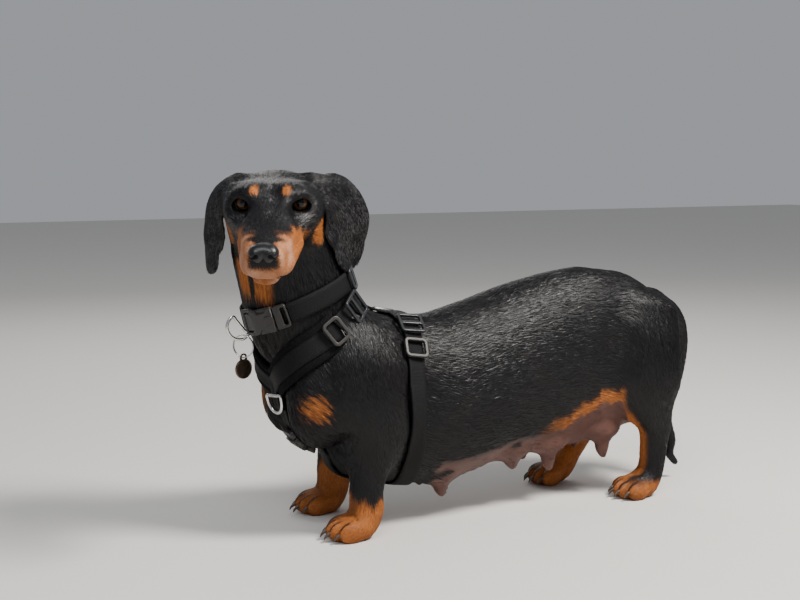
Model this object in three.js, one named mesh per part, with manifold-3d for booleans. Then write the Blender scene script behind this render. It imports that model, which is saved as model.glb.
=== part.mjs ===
// A smooth-haired dachshund, black and tan, standing with its head turned to its left.
// It wears a webbing collar with a ring and a tag, and a fleece-lined Y-front harness.
// Millimetres, +Z up. The dog faces -X, and its left side is -Y. The floor is z = 0.
import * as THREE from "three";
import { mergeVertices } from "three/addons/utils/BufferGeometryUtils.js";
import Module from "manifold-3d";

const wasm = await Module();
wasm.setup();

// Driving sizes of the dog
const GAP = 0.4; // between two pieces that touch
const EYE_RADIUS = 10.5;
const HEAD_AT = new THREE.Vector3(-102, -54, 333); // the point between the eyes
const HEAD_YAW = 64.5; // degrees, to the dog's left
const HEAD_PITCH = 14; // degrees, nose down

const LEFT = -1;
const RIGHT = 1;
const SIDES = { left: LEFT, right: RIGHT };

// Fields: a field gives roughly the distance of a point from a surface, negative inside

// How far from the middle a point (s, u, v) lies, as a share of the radii in its direction
function swell(s, u, v, power) {
  return Math.pow(
    Math.pow(Math.abs(s), power) + Math.pow(Math.abs(u), power) + Math.pow(Math.abs(v), power),
    1 / power,
  );
}

// A limb or trunk: stations [x, y, z, half width, over, under] along its middle line.
// over is the radius towards tangent x sideways, and under the one away from it.
class Form {
  constructor(stations, { sideways = [0, 1, 0], power = 2, steps = 4, cap = 0.8 } = {}) {
    const middle = stations.map(([x, y, z]) => new THREE.Vector3(x, y, z));
    const sizes = stations.map(([, , , half, over, under]) => new THREE.Vector3(half, over, under));
    this.line = new THREE.CatmullRomCurve3(middle, false, "catmullrom", 0.5);
    this.size = new THREE.CatmullRomCurve3(sizes, false, "catmullrom", 0.5);
    this.sideways = new THREE.Vector3(...sideways).normalize();
    this.power = power;
    this.cap = cap;
    const count = (stations.length - 1) * steps;
    this.samples = Array.from({ length: count + 1 }, (_, i) => this.station(i / count));
  }

  // Position, axes and radii at t, from 0 to 1 along the form
  station(t) {
    const at = this.line.getPoint(t);
    const along = this.line.getTangent(t);
    const over = new THREE.Vector3().crossVectors(along, this.sideways).normalize();
    const side = new THREE.Vector3().crossVectors(over, along).normalize();
    return { at, along, over, side, radii: this.size.getPoint(t) };
  }

  distance(p) {
    let best = Infinity;
    let index = 0;
    let share = 0;
    for (let i = 0; i + 1 < this.samples.length; i++) {
      const a = this.samples[i].at;
      const b = this.samples[i + 1].at;
      const dx = b.x - a.x;
      const dy = b.y - a.y;
      const dz = b.z - a.z;
      const raw = ((p.x - a.x) * dx + (p.y - a.y) * dy + (p.z - a.z) * dz) / (dx * dx + dy * dy + dz * dz);
      const t = Math.min(1, Math.max(0, raw));
      const ex = p.x - a.x - dx * t;
      const ey = p.y - a.y - dy * t;
      const ez = p.z - a.z - dz * t;
      const far = ex * ex + ey * ey + ez * ez;
      if (far < best) [best, index, share] = [far, i, t];
    }
    const a = this.samples[index];
    const b = this.samples[index + 1];
    const mix = (u, v) => u + (v - u) * share;
    const dot = (axis) =>
      mix(a[axis].x, b[axis].x) * (p.x - mix(a.at.x, b.at.x)) +
      mix(a[axis].y, b[axis].y) * (p.y - mix(a.at.y, b.at.y)) +
      mix(a[axis].z, b[axis].z) * (p.z - mix(a.at.z, b.at.z));
    const side = dot("side");
    const over = dot("over");
    const along = dot("along");
    const half = mix(a.radii.x, b.radii.x);
    const radius = over > 0 ? mix(a.radii.y, b.radii.y) : mix(a.radii.z, b.radii.z);
    const end = (share === 0 && index === 0) || (share === 1 && index === this.samples.length - 2);
    const cap = this.cap * Math.min(half, radius);
    const ratio = swell(side / half, over / radius, end ? along / cap : 0, this.power);
    return Math.sqrt(best) * (1 - 1 / Math.max(ratio, 1e-6)) - (ratio < 1e-6 ? half : 0);
  }
}

// An egg-shaped mass with its own axes
class Mass {
  constructor(at, radii, { turn = [0, 0, 0], power = 2 } = {}) {
    this.at = new THREE.Vector3(...at);
    this.radii = radii;
    this.power = power;
    const angles = turn.map((degrees) => THREE.MathUtils.degToRad(degrees));
    this.inverse = new THREE.Matrix4().makeRotationFromEuler(new THREE.Euler(...angles, "ZYX")).invert();
  }

  distance(p) {
    const q = p.clone().sub(this.at).applyMatrix4(this.inverse);
    const ratio = swell(q.x / this.radii[0], q.y / this.radii[1], q.z / this.radii[2], this.power);
    return ratio < 1e-6 ? -Math.min(...this.radii) : q.length() * (1 - 1 / ratio);
  }
}

// What a soft join of two fields adds outside both of them
function fillet(a, b, size) {
  const near = Math.max(size - Math.abs(a - b), 0) / size;
  return (near * near * size) / 4;
}

function join(a, b, size) {
  return Math.min(a, b) - fillet(a, b, size);
}

// a with b scooped out of it
function scoop(a, b, size) {
  return -join(-a, b, size);
}

// Meshes: each node of flesh is cast as rings of rays from its middle line out to its field

const RAY_STEP = 3;
const RAY_REACH = 150;
const RAY_HALVINGS = 12;

// The point where a ray from inside first leaves the field
function surfacePoint(from, direction, field) {
  const at = (far) => from.clone().addScaledVector(direction, far);
  let low = 0;
  let high = RAY_STEP;
  while (high < RAY_REACH && field(at(high)) < 0) [low, high] = [high, high + RAY_STEP];
  for (let i = 0; i < RAY_HALVINGS; i++) {
    const middle = (low + high) / 2;
    if (field(at(middle)) < 0) low = middle;
    else high = middle;
  }
  return at((low + high) / 2);
}

// A closed mesh from rows of points and a point at each end
function closedMesh(first, rows, last) {
  const around = rows[0].length;
  const points = [first, ...rows.flat(), last];
  const index = [];
  const id = (row, i) => 1 + row * around + (i % around);
  for (let i = 0; i < around; i++) index.push(0, id(0, i + 1), id(0, i));
  for (let row = 0; row + 1 < rows.length; row++) {
    for (let i = 0; i < around; i++) {
      const [a, b, c, d] = [id(row, i), id(row, i + 1), id(row + 1, i + 1), id(row + 1, i)];
      const cut = points[a].distanceToSquared(points[c]) < points[b].distanceToSquared(points[d]);
      index.push(...(cut ? [a, b, c, a, c, d] : [a, b, d, b, c, d]));
    }
  }
  const end = points.length - 1;
  for (let i = 0; i < around; i++) index.push(end, id(rows.length - 1, i), id(rows.length - 1, i + 1));
  return meshOf(points, index);
}

function meshOf(points, index) {
  const geometry = new THREE.BufferGeometry().setFromPoints(points);
  geometry.setIndex(index);
  return geometry;
}

// The skin of a form: rings along it, and a dome of caps rows of rays at each end
function castSkin(form, field, { rings, around, caps = 3 }) {
  const ray = (t, lean) => (i) => {
    const { at, along, over, side } = form.station(t);
    const angle = (i / around) * 2 * Math.PI;
    const direction = side.multiplyScalar(Math.cos(angle)).addScaledVector(over, Math.sin(angle));
    direction.multiplyScalar(Math.cos(lean)).addScaledVector(along, Math.sin(lean));
    return surfacePoint(at, direction, field);
  };
  const row = (t, lean) => Array.from({ length: around }, (_, i) => ray(t, lean)(i));
  const tilt = (i) => ((i + 1) / (caps + 1)) * (Math.PI / 2);
  const rows = [];
  for (let i = caps - 1; i >= 0; i--) rows.push(row(0, -tilt(i)));
  for (let i = 0; i <= rings; i++) rows.push(row(i / rings, 0));
  for (let i = 0; i < caps; i++) rows.push(row(1, tilt(i)));
  return closedMesh(ray(0, -Math.PI / 2)(0), rows, ray(1, Math.PI / 2)(0));
}

// Solids: joining and cutting

function solidOf(geometry) {
  const plain = geometry.index ? geometry.toNonIndexed() : geometry.clone();
  const bare = new THREE.BufferGeometry().setAttribute("position", plain.getAttribute("position"));
  const merged = mergeVertices(bare, 1e-3);
  const vertProperties = merged.attributes.position.array;
  const triVerts = new Uint32Array(merged.index.array);
  const made = new wasm.Manifold(new wasm.Mesh({ numProp: 3, vertProperties, triVerts }));
  if (made.volume() > 0) return made;
  for (let i = 0; i < triVerts.length; i += 3) {
    [triVerts[i + 1], triVerts[i + 2]] = [triVerts[i + 2], triVerts[i + 1]];
  }
  return new wasm.Manifold(new wasm.Mesh({ numProp: 3, vertProperties, triVerts }));
}

// The room that a mesh needs: the mesh itself, and a copy with every point moved out by the gap
function roomOf(geometry) {
  const grown = geometry.clone();
  grown.computeVertexNormals();
  const { position, normal } = grown.attributes;
  for (let i = 0; i < position.count; i++) {
    const out = new THREE.Vector3().fromBufferAttribute(normal, i).multiplyScalar(GAP);
    position.setXYZ(i, position.getX(i) + out.x, position.getY(i) + out.y, position.getZ(i) + out.z);
  }
  return solidOf(grown).add(solidOf(geometry));
}

function largestOf(solid) {
  return solid.decompose().reduce((best, piece) => (piece.volume() > best.volume() ? piece : best));
}

function geometryOf(solid) {
  const { vertProperties, triVerts, numProp } = largestOf(solid).getMesh();
  const position = new Float32Array((vertProperties.length / numProp) * 3);
  for (let i = 0; i < position.length / 3; i++) {
    for (let k = 0; k < 3; k++) position[3 * i + k] = vertProperties[numProp * i + k];
  }
  const geometry = new THREE.BufferGeometry().setAttribute("position", new THREE.BufferAttribute(position, 3));
  geometry.setIndex(new THREE.BufferAttribute(new Uint32Array(triVerts), 1));
  return geometry;
}

// The ground under the paws, which flattens their soles
const GROUND_SIZE = 1000;
const GROUND = solidOf(
  new THREE.BoxGeometry(GROUND_SIZE, GROUND_SIZE, GROUND_SIZE).translate(0, 0, -GROUND_SIZE / 2),
);

// The trunk, from the breast bone to the rump: [x, y, z, half width, up, down]
const trunk = new Form([
  [-22, 0, 143, 54, 55, 58],
  [-1, 0, 139, 60, 79, 82],
  [40, 0, 130, 66, 86, 88],
  [95, 0, 125, 68, 88, 89],
  [150, 0, 138, 66, 87, 89],
  [200, 0, 148, 62, 92, 95],
  [250, 0, 155, 58, 96, 99],
  [300, 0, 161, 55, 95, 96],
  [345, 0, 172, 50, 78, 82],
  [376, 0, 178, 36, 50, 56],
], { power: 2.2 });
const shoulderPoints = Object.values(SIDES).map((s) => new Mass([-48, s * 37, 137], [32, 27, 46]));

// The neck, from inside the chest up to the skull: [x, y, z, half width, throat, nape]
const neck = new Form([
  [-14, 0, 145, 56, 42, 50],
  [-29, 0, 178, 60, 47, 54],
  [-48, 0, 215, 52, 55, 54],
  [-59, -1, 260, 47, 56, 49],
  [-66, 1, 298, 46, 56, 47],
  [-72, 8, 322, 40, 50, 43],
], { power: 2.3 });

const tail = new Form([
  [378, 0, 204, 17, 17, 17],
  [402, 0, 198, 14, 13, 13],
  [416, 0, 176, 12, 12, 12],
  [418, 0, 148, 10.5, 10.5, 10.5],
  [413, 0, 116, 9, 9, 9],
  [402, 0, 89, 8, 8, 8],
  [404, 0, 66, 7, 7, 7],
  [411, 0, 47, 6, 6, 6],
  [409, 0, 31, 5, 5, 5],
  [418, 0, 19, 3.6, 3.6, 3.6],
]);

// Legs, from the shoulder or hip down and forward to the toes: [x, y, z, half, rear, front]
const forelegLine = (x, y) => [
  [x + 5, y * 0.8, 200, 16, 28, 28],
  [x - 3, y * 1.0, 175, 22, 38, 38],
  [x - 6, y * 1.06, 145, 25, 41, 42],
  [x + 3, y * 1.08, 118, 24, 39, 36],
  [x + 3, y * 1.04, 95, 20, 28, 25],
  [x - 1, y, 70, 17, 20, 19],
  [x - 4, y, 46, 16, 17, 17],
  [x - 4, y, 28, 17, 17, 17],
  [x - 12, y, 15, 21, 17, 14],
  [x - 25, y, 12, 21, 14, 11],
];
const LEG_LINES = {
  foreleg_left: forelegLine(0, -51),
  foreleg_right: forelegLine(8, 53),
  hindleg_left: [
    [352, -32, 205, 20, 32, 40],
    [345, -42, 165, 26, 38, 48],
    [344, -46, 125, 25, 38, 42],
    [347, -46, 98, 19, 27, 28],
    [351, -45, 74, 14, 20, 17],
    [351, -45, 50, 13, 16, 15],
    [348, -45, 28, 14, 14, 14],
    [338, -45, 15, 18, 16, 14],
    [322, -46, 12, 19, 14, 11],
  ],
  hindleg_right: [
    [350, 32, 205, 20, 36, 40],
    [330, 42, 165, 26, 44, 50],
    [306, 48, 128, 25, 36, 38],
    [310, 50, 98, 17, 24, 22],
    [320, 49, 74, 13, 15, 14],
    [318, 48, 56, 12, 14, 12],
    [303, 48, 35, 13, 13, 13],
    [287, 48, 17, 17, 15, 14],
    [270, 48, 12, 19, 14, 11],
  ],
};

const TOE_SPREAD = [-15, -5.2, 5.2, 15];
const TOE_REACH = [2, 8, 8, 2]; // how far each toe stands before the end of the leg's line

class Leg {
  constructor(name, line) {
    this.name = name;
    this.form = new Form(line, { power: 2.2 });
    const [x, y] = line.at(-1);
    this.toes = TOE_SPREAD.map((spread, i) => ({ x: x - TOE_REACH[i], y: y + spread }));
    this.masses = this.toes.map((toe) => new Mass([toe.x, toe.y, 9.5], [13, 6.6, 10.5]));
  }

  distance(p) {
    const foot = Math.min(...this.masses.map((mass) => mass.distance(p)));
    return join(this.form.distance(p), foot, 3.5);
  }
}

const legs = Object.entries(LEG_LINES).map(([name, line]) => new Leg(name, line));

// The head's own axes
const yaw = THREE.MathUtils.degToRad(HEAD_YAW);
const pitch = THREE.MathUtils.degToRad(HEAD_PITCH);
const headLevel = new THREE.Vector3(-Math.cos(yaw), -Math.sin(yaw), 0);
const HEAD_LEFT = new THREE.Vector3(Math.sin(yaw), -Math.cos(yaw), 0);
const HEAD_FORWARD = headLevel.multiplyScalar(Math.cos(pitch)).setZ(-Math.sin(pitch));
const HEAD_UP = new THREE.Vector3().crossVectors(HEAD_FORWARD, HEAD_LEFT);
const headMatrix = new THREE.Matrix4().makeBasis(HEAD_FORWARD, HEAD_LEFT, HEAD_UP).setPosition(HEAD_AT);
const headInverse = headMatrix.clone().invert();

const inHead = (forward, left, up) => new THREE.Vector3(forward, left, up).applyMatrix4(headMatrix);
const pair = (make) => [make(1), make(-1)]; // on the head, 1 is its left

// Head forms are in the head's axes: forward, left and up of the point between the eyes
const headAxes = { sideways: [0, 1, 0] };
const skull = new Form([
  [-64, 0, -11, 32, 21, 32],
  [-48, 0, -9, 42, 26, 38],
  [-25, 0, -8, 43.5, 24, 38],
  [-2, 0, -11, 37, 23, 33],
  [18, 0, -15, 30, 21, 29],
  [42, 0, -21, 25, 18, 26],
  [66, 0, -25, 22, 15, 23],
  [79, 0, -27, 18, 12.5, 19],
], { ...headAxes, power: 2.55 });
const jaw = new Form([
  [-42, 0, -36, 24, 8, 14],
  [-10, 0, -42, 21, 7, 12],
  [25, 0, -46, 17, 6, 9],
  [55, 0, -48.5, 14, 5, 7],
  [71, 0, -49, 11.5, 4.5, 6],
], headAxes);
const flews = pair((s) => new Form([
  [18, s * 21, -32, 10, 9, 11],
  [42, s * 17.5, -36, 9.5, 10, 12],
  [64, s * 14, -38, 9.5, 10, 11],
  [78, s * 7.5, -35, 7.5, 7, 9],
], headAxes));
const cheeks = pair((s) => new Mass([-34, s * 30.5, -25], [30, 15.5, 29]));
const arches = pair((s) => new Mass([-14, s * 34, -9], [26, 9, 10], { turn: [0, 0, -s * 12] }));
const brows = pair((s) => new Mass([-5, s * 20, 9], [17, 13, 8]));
const occiput = new Mass([-62, 0, 1], [18, 20, 12]);
const stop = new Mass([16, 0, 15], [20, 8, 7]);
const sockets = pair((s) => new Mass([12, s * 37, -2], [12, 10, 12]));

const EYE_AT = { forward: -10.5, left: 24.2, up: -1 };
const EYE_LOOK = 22; // degrees that each eye looks away from straight ahead
const LID = 1.7; // thickness
const NOSE = { forward: 82, up: -21, length: 9.5, half: 13, height: 8.4 };

const lids = pair((s) => new Mass(
  [EYE_AT.forward, s * EYE_AT.left, EYE_AT.up],
  [EYE_RADIUS + LID, EYE_RADIUS + LID + 0.6, EYE_RADIUS + LID],
));
const nostrilWings = pair((s) => new Mass([NOSE.forward + 3, s * 7, NOSE.up - 1], [8, 6.5, 8]));
const noseCore = new Mass([NOSE.forward, 0, NOSE.up], [NOSE.length, NOSE.half, NOSE.height], { power: 2.3 });

const nearest = (masses, p) => Math.min(...masses.map((mass) => mass.distance(p)));

function noseDistance(p) {
  return join(noseCore.distance(p), nearest(nostrilWings, p), 3);
}

function headDistance(p) {
  let d = join(skull.distance(p), nearest(cheeks, p), 12);
  d = join(d, nearest(arches, p), 10);
  d = join(d, nearest(brows, p), 12);
  d = join(d, occiput.distance(p), 14);
  d = scoop(d, stop.distance(p), 10);
  d = scoop(d, nearest(sockets, p), 12);
  d = join(d, nearest(flews, p), 5);
  d = join(d, jaw.distance(p), 3);
  d = join(d, nearest(lids, p), 2.5);
  return d;
}

// Each node's field takes in its share of the soft joins with its neighbours
const NECK_JOIN = 30;
const LEG_JOIN = 22;
const TAIL_JOIN = 12;
const HEAD_JOIN = 12;

const headField = (p) => headDistance(p.clone().applyMatrix4(headInverse));
const trunkDistance = (p) => join(trunk.distance(p), nearest(shoulderPoints, p), 16);
const torsoField = (p) => {
  const own = trunkDistance(p);
  const joins = legs.map((leg) => fillet(own, leg.distance(p), LEG_JOIN));
  joins.push(fillet(own, neck.distance(p), NECK_JOIN), fillet(own, tail.distance(p), TAIL_JOIN));
  return own - Math.max(...joins);
};
const neckField = (p) => {
  const own = neck.distance(p);
  return own - Math.max(fillet(own, trunkDistance(p), NECK_JOIN), fillet(own, headField(p), HEAD_JOIN));
};
const tailField = (p) => {
  const own = tail.distance(p);
  return own - fillet(own, trunkDistance(p), TAIL_JOIN);
};
const legField = (leg) => (p) => {
  const own = leg.distance(p);
  return own - fillet(own, trunkDistance(p), LEG_JOIN);
};

// Small solids in the head's axes, and lofts

const centreOf = (points) => points.reduce((sum, p) => sum.add(p), new THREE.Vector3()).divideScalar(points.length);
const loft = (rows) => closedMesh(centreOf(rows[0]), rows, centreOf(rows.at(-1)));
const inWorld = (geometry) => geometry.applyMatrix4(headMatrix);

function egg(at, radii, fine) {
  const geometry = new THREE.SphereGeometry(1, fine, Math.ceil(fine * 0.7));
  return geometry.scale(...radii).translate(...at);
}

// The opening between the lids: an almond, its inner corner lower, cut along the eye's look
function eyeOpening(s) {
  const almond = new THREE.Shape();
  almond.moveTo(-s * 10.6, -2.8);
  almond.quadraticCurveTo(-s * 4.8, 7, s * 2, 5.6);
  almond.quadraticCurveTo(s * 7.2, 4.6, s * 9.2, 0.9);
  almond.quadraticCurveTo(s * 4.4, -8.6, -s * 10.6, -2.8);
  const prism = new THREE.ExtrudeGeometry(almond, { depth: 20, bevelEnabled: false, curveSegments: 7 });
  const look = THREE.MathUtils.degToRad(EYE_LOOK);
  const ahead = new THREE.Vector3(Math.cos(look), s * Math.sin(look), 0);
  const across = new THREE.Vector3(-s * Math.sin(look), Math.cos(look), 0);
  const basis = new THREE.Matrix4().makeBasis(across, new THREE.Vector3(0, 0, 1), ahead);
  return prism.applyMatrix4(basis.setPosition(EYE_AT.forward, s * EYE_AT.left, EYE_AT.up));
}

// The mouth is shut: a shallow slit runs round under the lips from corner to corner
const MOUTH_SIDE = [[8, 31, -38], [24, 29, -44], [42, 26.5, -47.5], [60, 22, -48.5], [74, 14, -46.5]];
const MOUTH_STEPS = 26;

function mouthSlit() {
  const points = [
    ...MOUTH_SIDE.map(([a, b, c]) => new THREE.Vector3(a, -b, c)),
    new THREE.Vector3(81, 0, -44.5),
    ...MOUTH_SIDE.map(([a, b, c]) => new THREE.Vector3(a, b, c)).reverse(),
  ];
  const line = new THREE.CatmullRomCurve3(points, false, "catmullrom", 0.5);
  const rows = [];
  for (let i = 0; i <= MOUTH_STEPS; i++) {
    const at = line.getPoint(i / MOUTH_STEPS);
    const along = line.getTangent(i / MOUTH_STEPS).setZ(0).normalize();
    const out = new THREE.Vector3(along.y, -along.x, 0);
    if (out.dot(new THREE.Vector3(at.x - 20, at.y, 0)) < 0) out.negate();
    const corner = (far, high) => at.clone().addScaledVector(out, far).setZ(at.z + high);
    rows.push([corner(8, 0.9), corner(8, -0.9), corner(-3.5, -0.3), corner(-3.5, 0.3)]);
  }
  return loft(rows);
}

// An ear's leather: a cupped leaf from its root on the skull, out over the fold and down.
// line is its middle, backs the directions from its front edge to its back one.
const EARS = {
  left: {
    line: [
      [-40, 26, 11], [-43, 39, 16], [-46, 54, 6], [-50, 66, -14],
      [-52, 72, -36], [-53, 73, -58], [-52, 71, -82],
    ],
    backs: [[-1, 0.1, -0.15], [-0.8, 0.6, -0.1], [-0.82, 0.57, 0.05]],
  },
  right: {
    line: [
      [-40, -26, 11], [-43, -39, 15], [-46, -53, 2], [-50, -63, -18],
      [-52, -67, -41], [-53, -69, -62], [-52, -68, -84],
    ],
    backs: [[-1, -0.1, -0.15], [-0.94, -0.34, -0.1], [-0.96, -0.28, 0]],
  },
};
const EAR_HALF_WIDTHS = [17, 21, 27, 33, 37, 34, 17];
const EAR_CUPS = [11, 12, 10, 8, 7, 6, 3]; // how far the edges curve in
const EAR_THICKNESSES = [9, 6.5, 4.5, 4, 4, 3.6, 3];
const EAR_GRID = { rings: 12, across: 6 };

const smooth = (points) => new THREE.CatmullRomCurve3(points, false, "catmullrom", 0.5);

function earGeometry(side) {
  const s = side === "left" ? 1 : -1;
  const line = smooth(EARS[side].line.map((p) => new THREE.Vector3(...p)));
  const backs = new THREE.CatmullRomCurve3(EARS[side].backs.map((p) => new THREE.Vector3(...p)));
  const sizes = smooth(EAR_HALF_WIDTHS.map((half, i) => new THREE.Vector3(half, EAR_CUPS[i], EAR_THICKNESSES[i])));
  const { rings, across } = EAR_GRID;
  const rows = [];
  for (let i = 0; i <= rings; i++) {
    const t = i / rings;
    const at = line.getPoint(t);
    const along = line.getTangent(t);
    const out = new THREE.Vector3().crossVectors(along, backs.getPoint(t)).normalize().multiplyScalar(s);
    const back = new THREE.Vector3().crossVectors(out, along).normalize().multiplyScalar(s);
    const size = sizes.getPoint(t);
    const face = (u, way) => {
      const lift = -size.y * u * u + way * (size.z / 2) * (0.3 + 0.7 * Math.sqrt(1 - u * u));
      return at.clone().addScaledVector(back, size.x * u).addScaledVector(out, lift);
    };
    const shares = Array.from({ length: across + 1 }, (_, k) => -Math.cos((k / across) * Math.PI));
    rows.push([...shares.map((u) => face(u, 1)), ...shares.reverse().map((u) => face(u, -1))]);
  }
  return inWorld(loft(rows));
}

// Straps: bands that follow the coat, with the sliders, rings and buckles set on them

const STRAP_GAP = 0.9; // from the coat to a strap
const WEBBING = 20; // width of all the webbing
const WEBBING_THICK = 2.2;
const PAD = 34; // width of the fleece under the webbing of the chest
const PAD_THICK = 5;

const coatField = (p) => Math.min(torsoField(p), neckField(p), ...legs.map((leg) => legField(leg)(p)));

function gradient(p) {
  const step = 0.5;
  const slope = (axis) => {
    const q = p.clone();
    q[axis] += step;
    const ahead = coatField(q);
    q[axis] -= 2 * step;
    return ahead - coatField(q);
  };
  return new THREE.Vector3(slope("x"), slope("y"), slope("z")).normalize();
}

// The nearest point at a height above the coat
function onCoat(p, height) {
  const q = p.clone();
  for (let i = 0; i < 6; i++) q.addScaledVector(gradient(q), height - coatField(q));
  return q;
}

// A strap's route: points laid on the coat and joined by a smooth curve
class Route {
  constructor(points, closed = false) {
    const laid = points.map((p) => onCoat(new THREE.Vector3(...p), STRAP_GAP));
    this.curve = new THREE.CatmullRomCurve3(laid, closed, "centripetal");
    this.closed = closed;
  }

  // The frame at a share of the length: along the strap, out of the coat, and across
  frame(share, height = 0) {
    const t = this.closed ? share % 1 : Math.min(share, 1);
    const on = this.curve.getPointAt(t);
    const out = gradient(on);
    const along = this.curve.getTangentAt(t);
    const across = new THREE.Vector3().crossVectors(out, along).normalize();
    along.crossVectors(across, out);
    return { at: onCoat(on, STRAP_GAP + height), along, across, out };
  }

  matrix(share, height) {
    const { at, along, across, out } = this.frame(share, height);
    return new THREE.Matrix4().makeBasis(along, across, out).setPosition(at);
  }

  // A band with a profile of [across, height] points, from one share of the route to another
  band(profile, { from = 0, to = 1, pace = 9 } = {}) {
    const steps = Math.max(2, Math.round(((to - from) * this.curve.getLength()) / pace));
    const rows = [];
    for (let i = 0; i <= steps; i++) {
      const { at, across } = this.frame(from + ((to - from) * i) / steps);
      rows.push(profile.map(([far, high]) => onCoat(at.clone().addScaledVector(across, far), STRAP_GAP + high)));
    }
    return loft(rows);
  }
}

const webbingProfile = (width = WEBBING, low = 0, thick = WEBBING_THICK) => [
  [-width / 2, low], [0, low], [width / 2, low],
  [width / 2, low + thick], [0, low + thick], [-width / 2, low + thick],
];
const PAD_PROFILE = [
  [-PAD / 2 + 1, 0], [0, 0], [PAD / 2 - 1, 0], [PAD / 2, PAD_THICK / 2], [PAD / 2 - 2, PAD_THICK],
  [WEBBING / 2, PAD_THICK], [WEBBING / 2, PAD_THICK + 1.8], [-WEBBING / 2, PAD_THICK + 1.8],
  [-WEBBING / 2, PAD_THICK], [-PAD / 2 + 2, PAD_THICK], [-PAD / 2, PAD_THICK / 2],
];

function roundedRectangle(length, width, corner) {
  const [x, y] = [length / 2, width / 2];
  const shape = new THREE.Shape();
  shape.moveTo(-x + corner, -y).lineTo(x - corner, -y).quadraticCurveTo(x, -y, x, -y + corner);
  shape.lineTo(x, y - corner).quadraticCurveTo(x, y, x - corner, y).lineTo(-x + corner, y);
  shape.quadraticCurveTo(-x, y, -x, y - corner).lineTo(-x, -y + corner).quadraticCurveTo(-x, -y, -x + corner, -y);
  return shape;
}

const plate = (shape, thick) =>
  new THREE.ExtrudeGeometry(shape, { depth: thick, bevelEnabled: false, curveSegments: 3 });

// A slider: a frame with a bar across its middle
function slider(length, width, thick) {
  const shape = roundedRectangle(length, width, 4);
  const slot = roundedRectangle(length / 2 - 5, width - 6, 1.5).getPoints(1);
  for (const x of [length / 4 - 0.7, -length / 4 + 0.7]) {
    shape.holes.push(new THREE.Path(slot.map((p) => new THREE.Vector2(p.x + x, p.y))));
  }
  return plate(shape, thick);
}

// A rectangular ring with one wide opening
function squareRing(length, width, thick) {
  const shape = roundedRectangle(length, width, 5);
  shape.holes.push(new THREE.Path(roundedRectangle(length - 7, width - 7, 2).getPoints(1)));
  return plate(shape, thick);
}

// A D-shaped wire ring, its straight side at the origin and its bow towards +X
function dRing(width, reach, wire) {
  const half = width / 2;
  const points = [
    [0, -half], [0, 0], [0, half], [reach * 0.45, half * 0.98], [reach * 0.85, half * 0.62],
    [reach, 0], [reach * 0.85, -half * 0.62], [reach * 0.45, -half * 0.98],
  ].map(([x, y]) => new THREE.Vector3(x, y, 0));
  const line = new THREE.CatmullRomCurve3(points, true, "catmullrom", 0.35);
  return tubeRing(line, wire, 20, 6);
}

// A closed wire along a closed line that lies flat
function tubeRing(line, wire, steps, around) {
  const points = [];
  const index = [];
  for (let i = 0; i < steps; i++) {
    const at = line.getPointAt(i / steps);
    const out = new THREE.Vector3().crossVectors(line.getTangentAt(i / steps), new THREE.Vector3(0, 0, 1));
    for (let k = 0; k < around; k++) {
      const angle = (k / around) * 2 * Math.PI;
      const point = at.clone().addScaledVector(out, wire * Math.cos(angle));
      points.push(point.setZ(point.z + wire * Math.sin(angle)));
      const next = (i + 1) % steps;
      const [a, b] = [i * around + k, i * around + ((k + 1) % around)];
      const [c, d] = [next * around + ((k + 1) % around), next * around + k];
      index.push(a, d, b, b, d, c);
    }
  }
  return meshOf(points, index);
}

// Materials, as the photo shows them
const paint = (color, roughness, metalness = 0) => new THREE.MeshStandardMaterial({ color, roughness, metalness });
const MATERIALS = {
  coat: paint(0x1b1a1e, 0.45),
  nose: paint(0x131216, 0.3),
  eye: paint(0x5a3313, 0.08),
  webbing: paint(0x18181a, 0.85),
  fleece: paint(0x1d1c20, 0.95),
  plastic: paint(0x3b3835, 0.45),
  black_plastic: paint(0x1a1b1e, 0.35),
  steel: paint(0xb9b9b8, 0.25, 1),
  bronze: paint(0x4a4138, 0.4, 1),
};

const dog = new THREE.Group();

function addNode(name, solid, material) {
  const mesh = new THREE.Mesh(geometryOf(solid), MATERIALS[material]);
  mesh.name = name;
  dog.add(mesh);
}

// Trunk, with its teats, and the neck, tail and legs that grow from it
const TORSO_GRID = { rings: 20, around: 25 };
const TEAT_PAIRS = [[106, 22, 35], [193, 21, 50], [245, 20, 53], [306, 17, 64]];
const TEAT = { radius: 5.5, length: 15 };

function teat(x, y, z) {
  const { radius, length } = TEAT;
  const profile = [[0, -1], [0.7, -0.9], [1, -0.2], [1.9, 0.3], [0, 0.9]];
  const points = profile.map(([r, h]) => new THREE.Vector2(r * radius, h * length));
  return new THREE.LatheGeometry(points, 7).rotateX(Math.PI / 2).translate(x, y, z);
}

const torsoSkin = castSkin(trunk, torsoField, TORSO_GRID);
const torsoRoom = roomOf(torsoSkin);
let torso = solidOf(torsoSkin);
for (const [x, y, z] of TEAT_PAIRS) {
  for (const s of Object.values(SIDES)) torso = torso.add(solidOf(teat(x, s * y, z)));
}
addNode("torso", torso, "coat");

const NECK_GRID = { rings: 8, around: 20 };
const neckSkin = castSkin(neck, neckField, NECK_GRID);
const neckRoom = roomOf(neckSkin);
addNode("neck", solidOf(neckSkin).subtract(torsoRoom), "coat");
const tailSkin = castSkin(tail, tailField, { rings: 20, around: 8 });
addNode("tail", solidOf(tailSkin).subtract(torsoRoom), "coat");

// A claw: a cone that leaves the toe forward and down
const CLAW = { radius: 2.3, length: 12, droop: 0.42, reach: 13.5, height: 6.6 };

function claw({ x, y }) {
  const { radius, length, droop, reach, height } = CLAW;
  const cone = new THREE.ConeGeometry(radius, length, 6).rotateZ(Math.PI / 2 + droop);
  return solidOf(cone.translate(x - reach, y, height));
}

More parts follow.
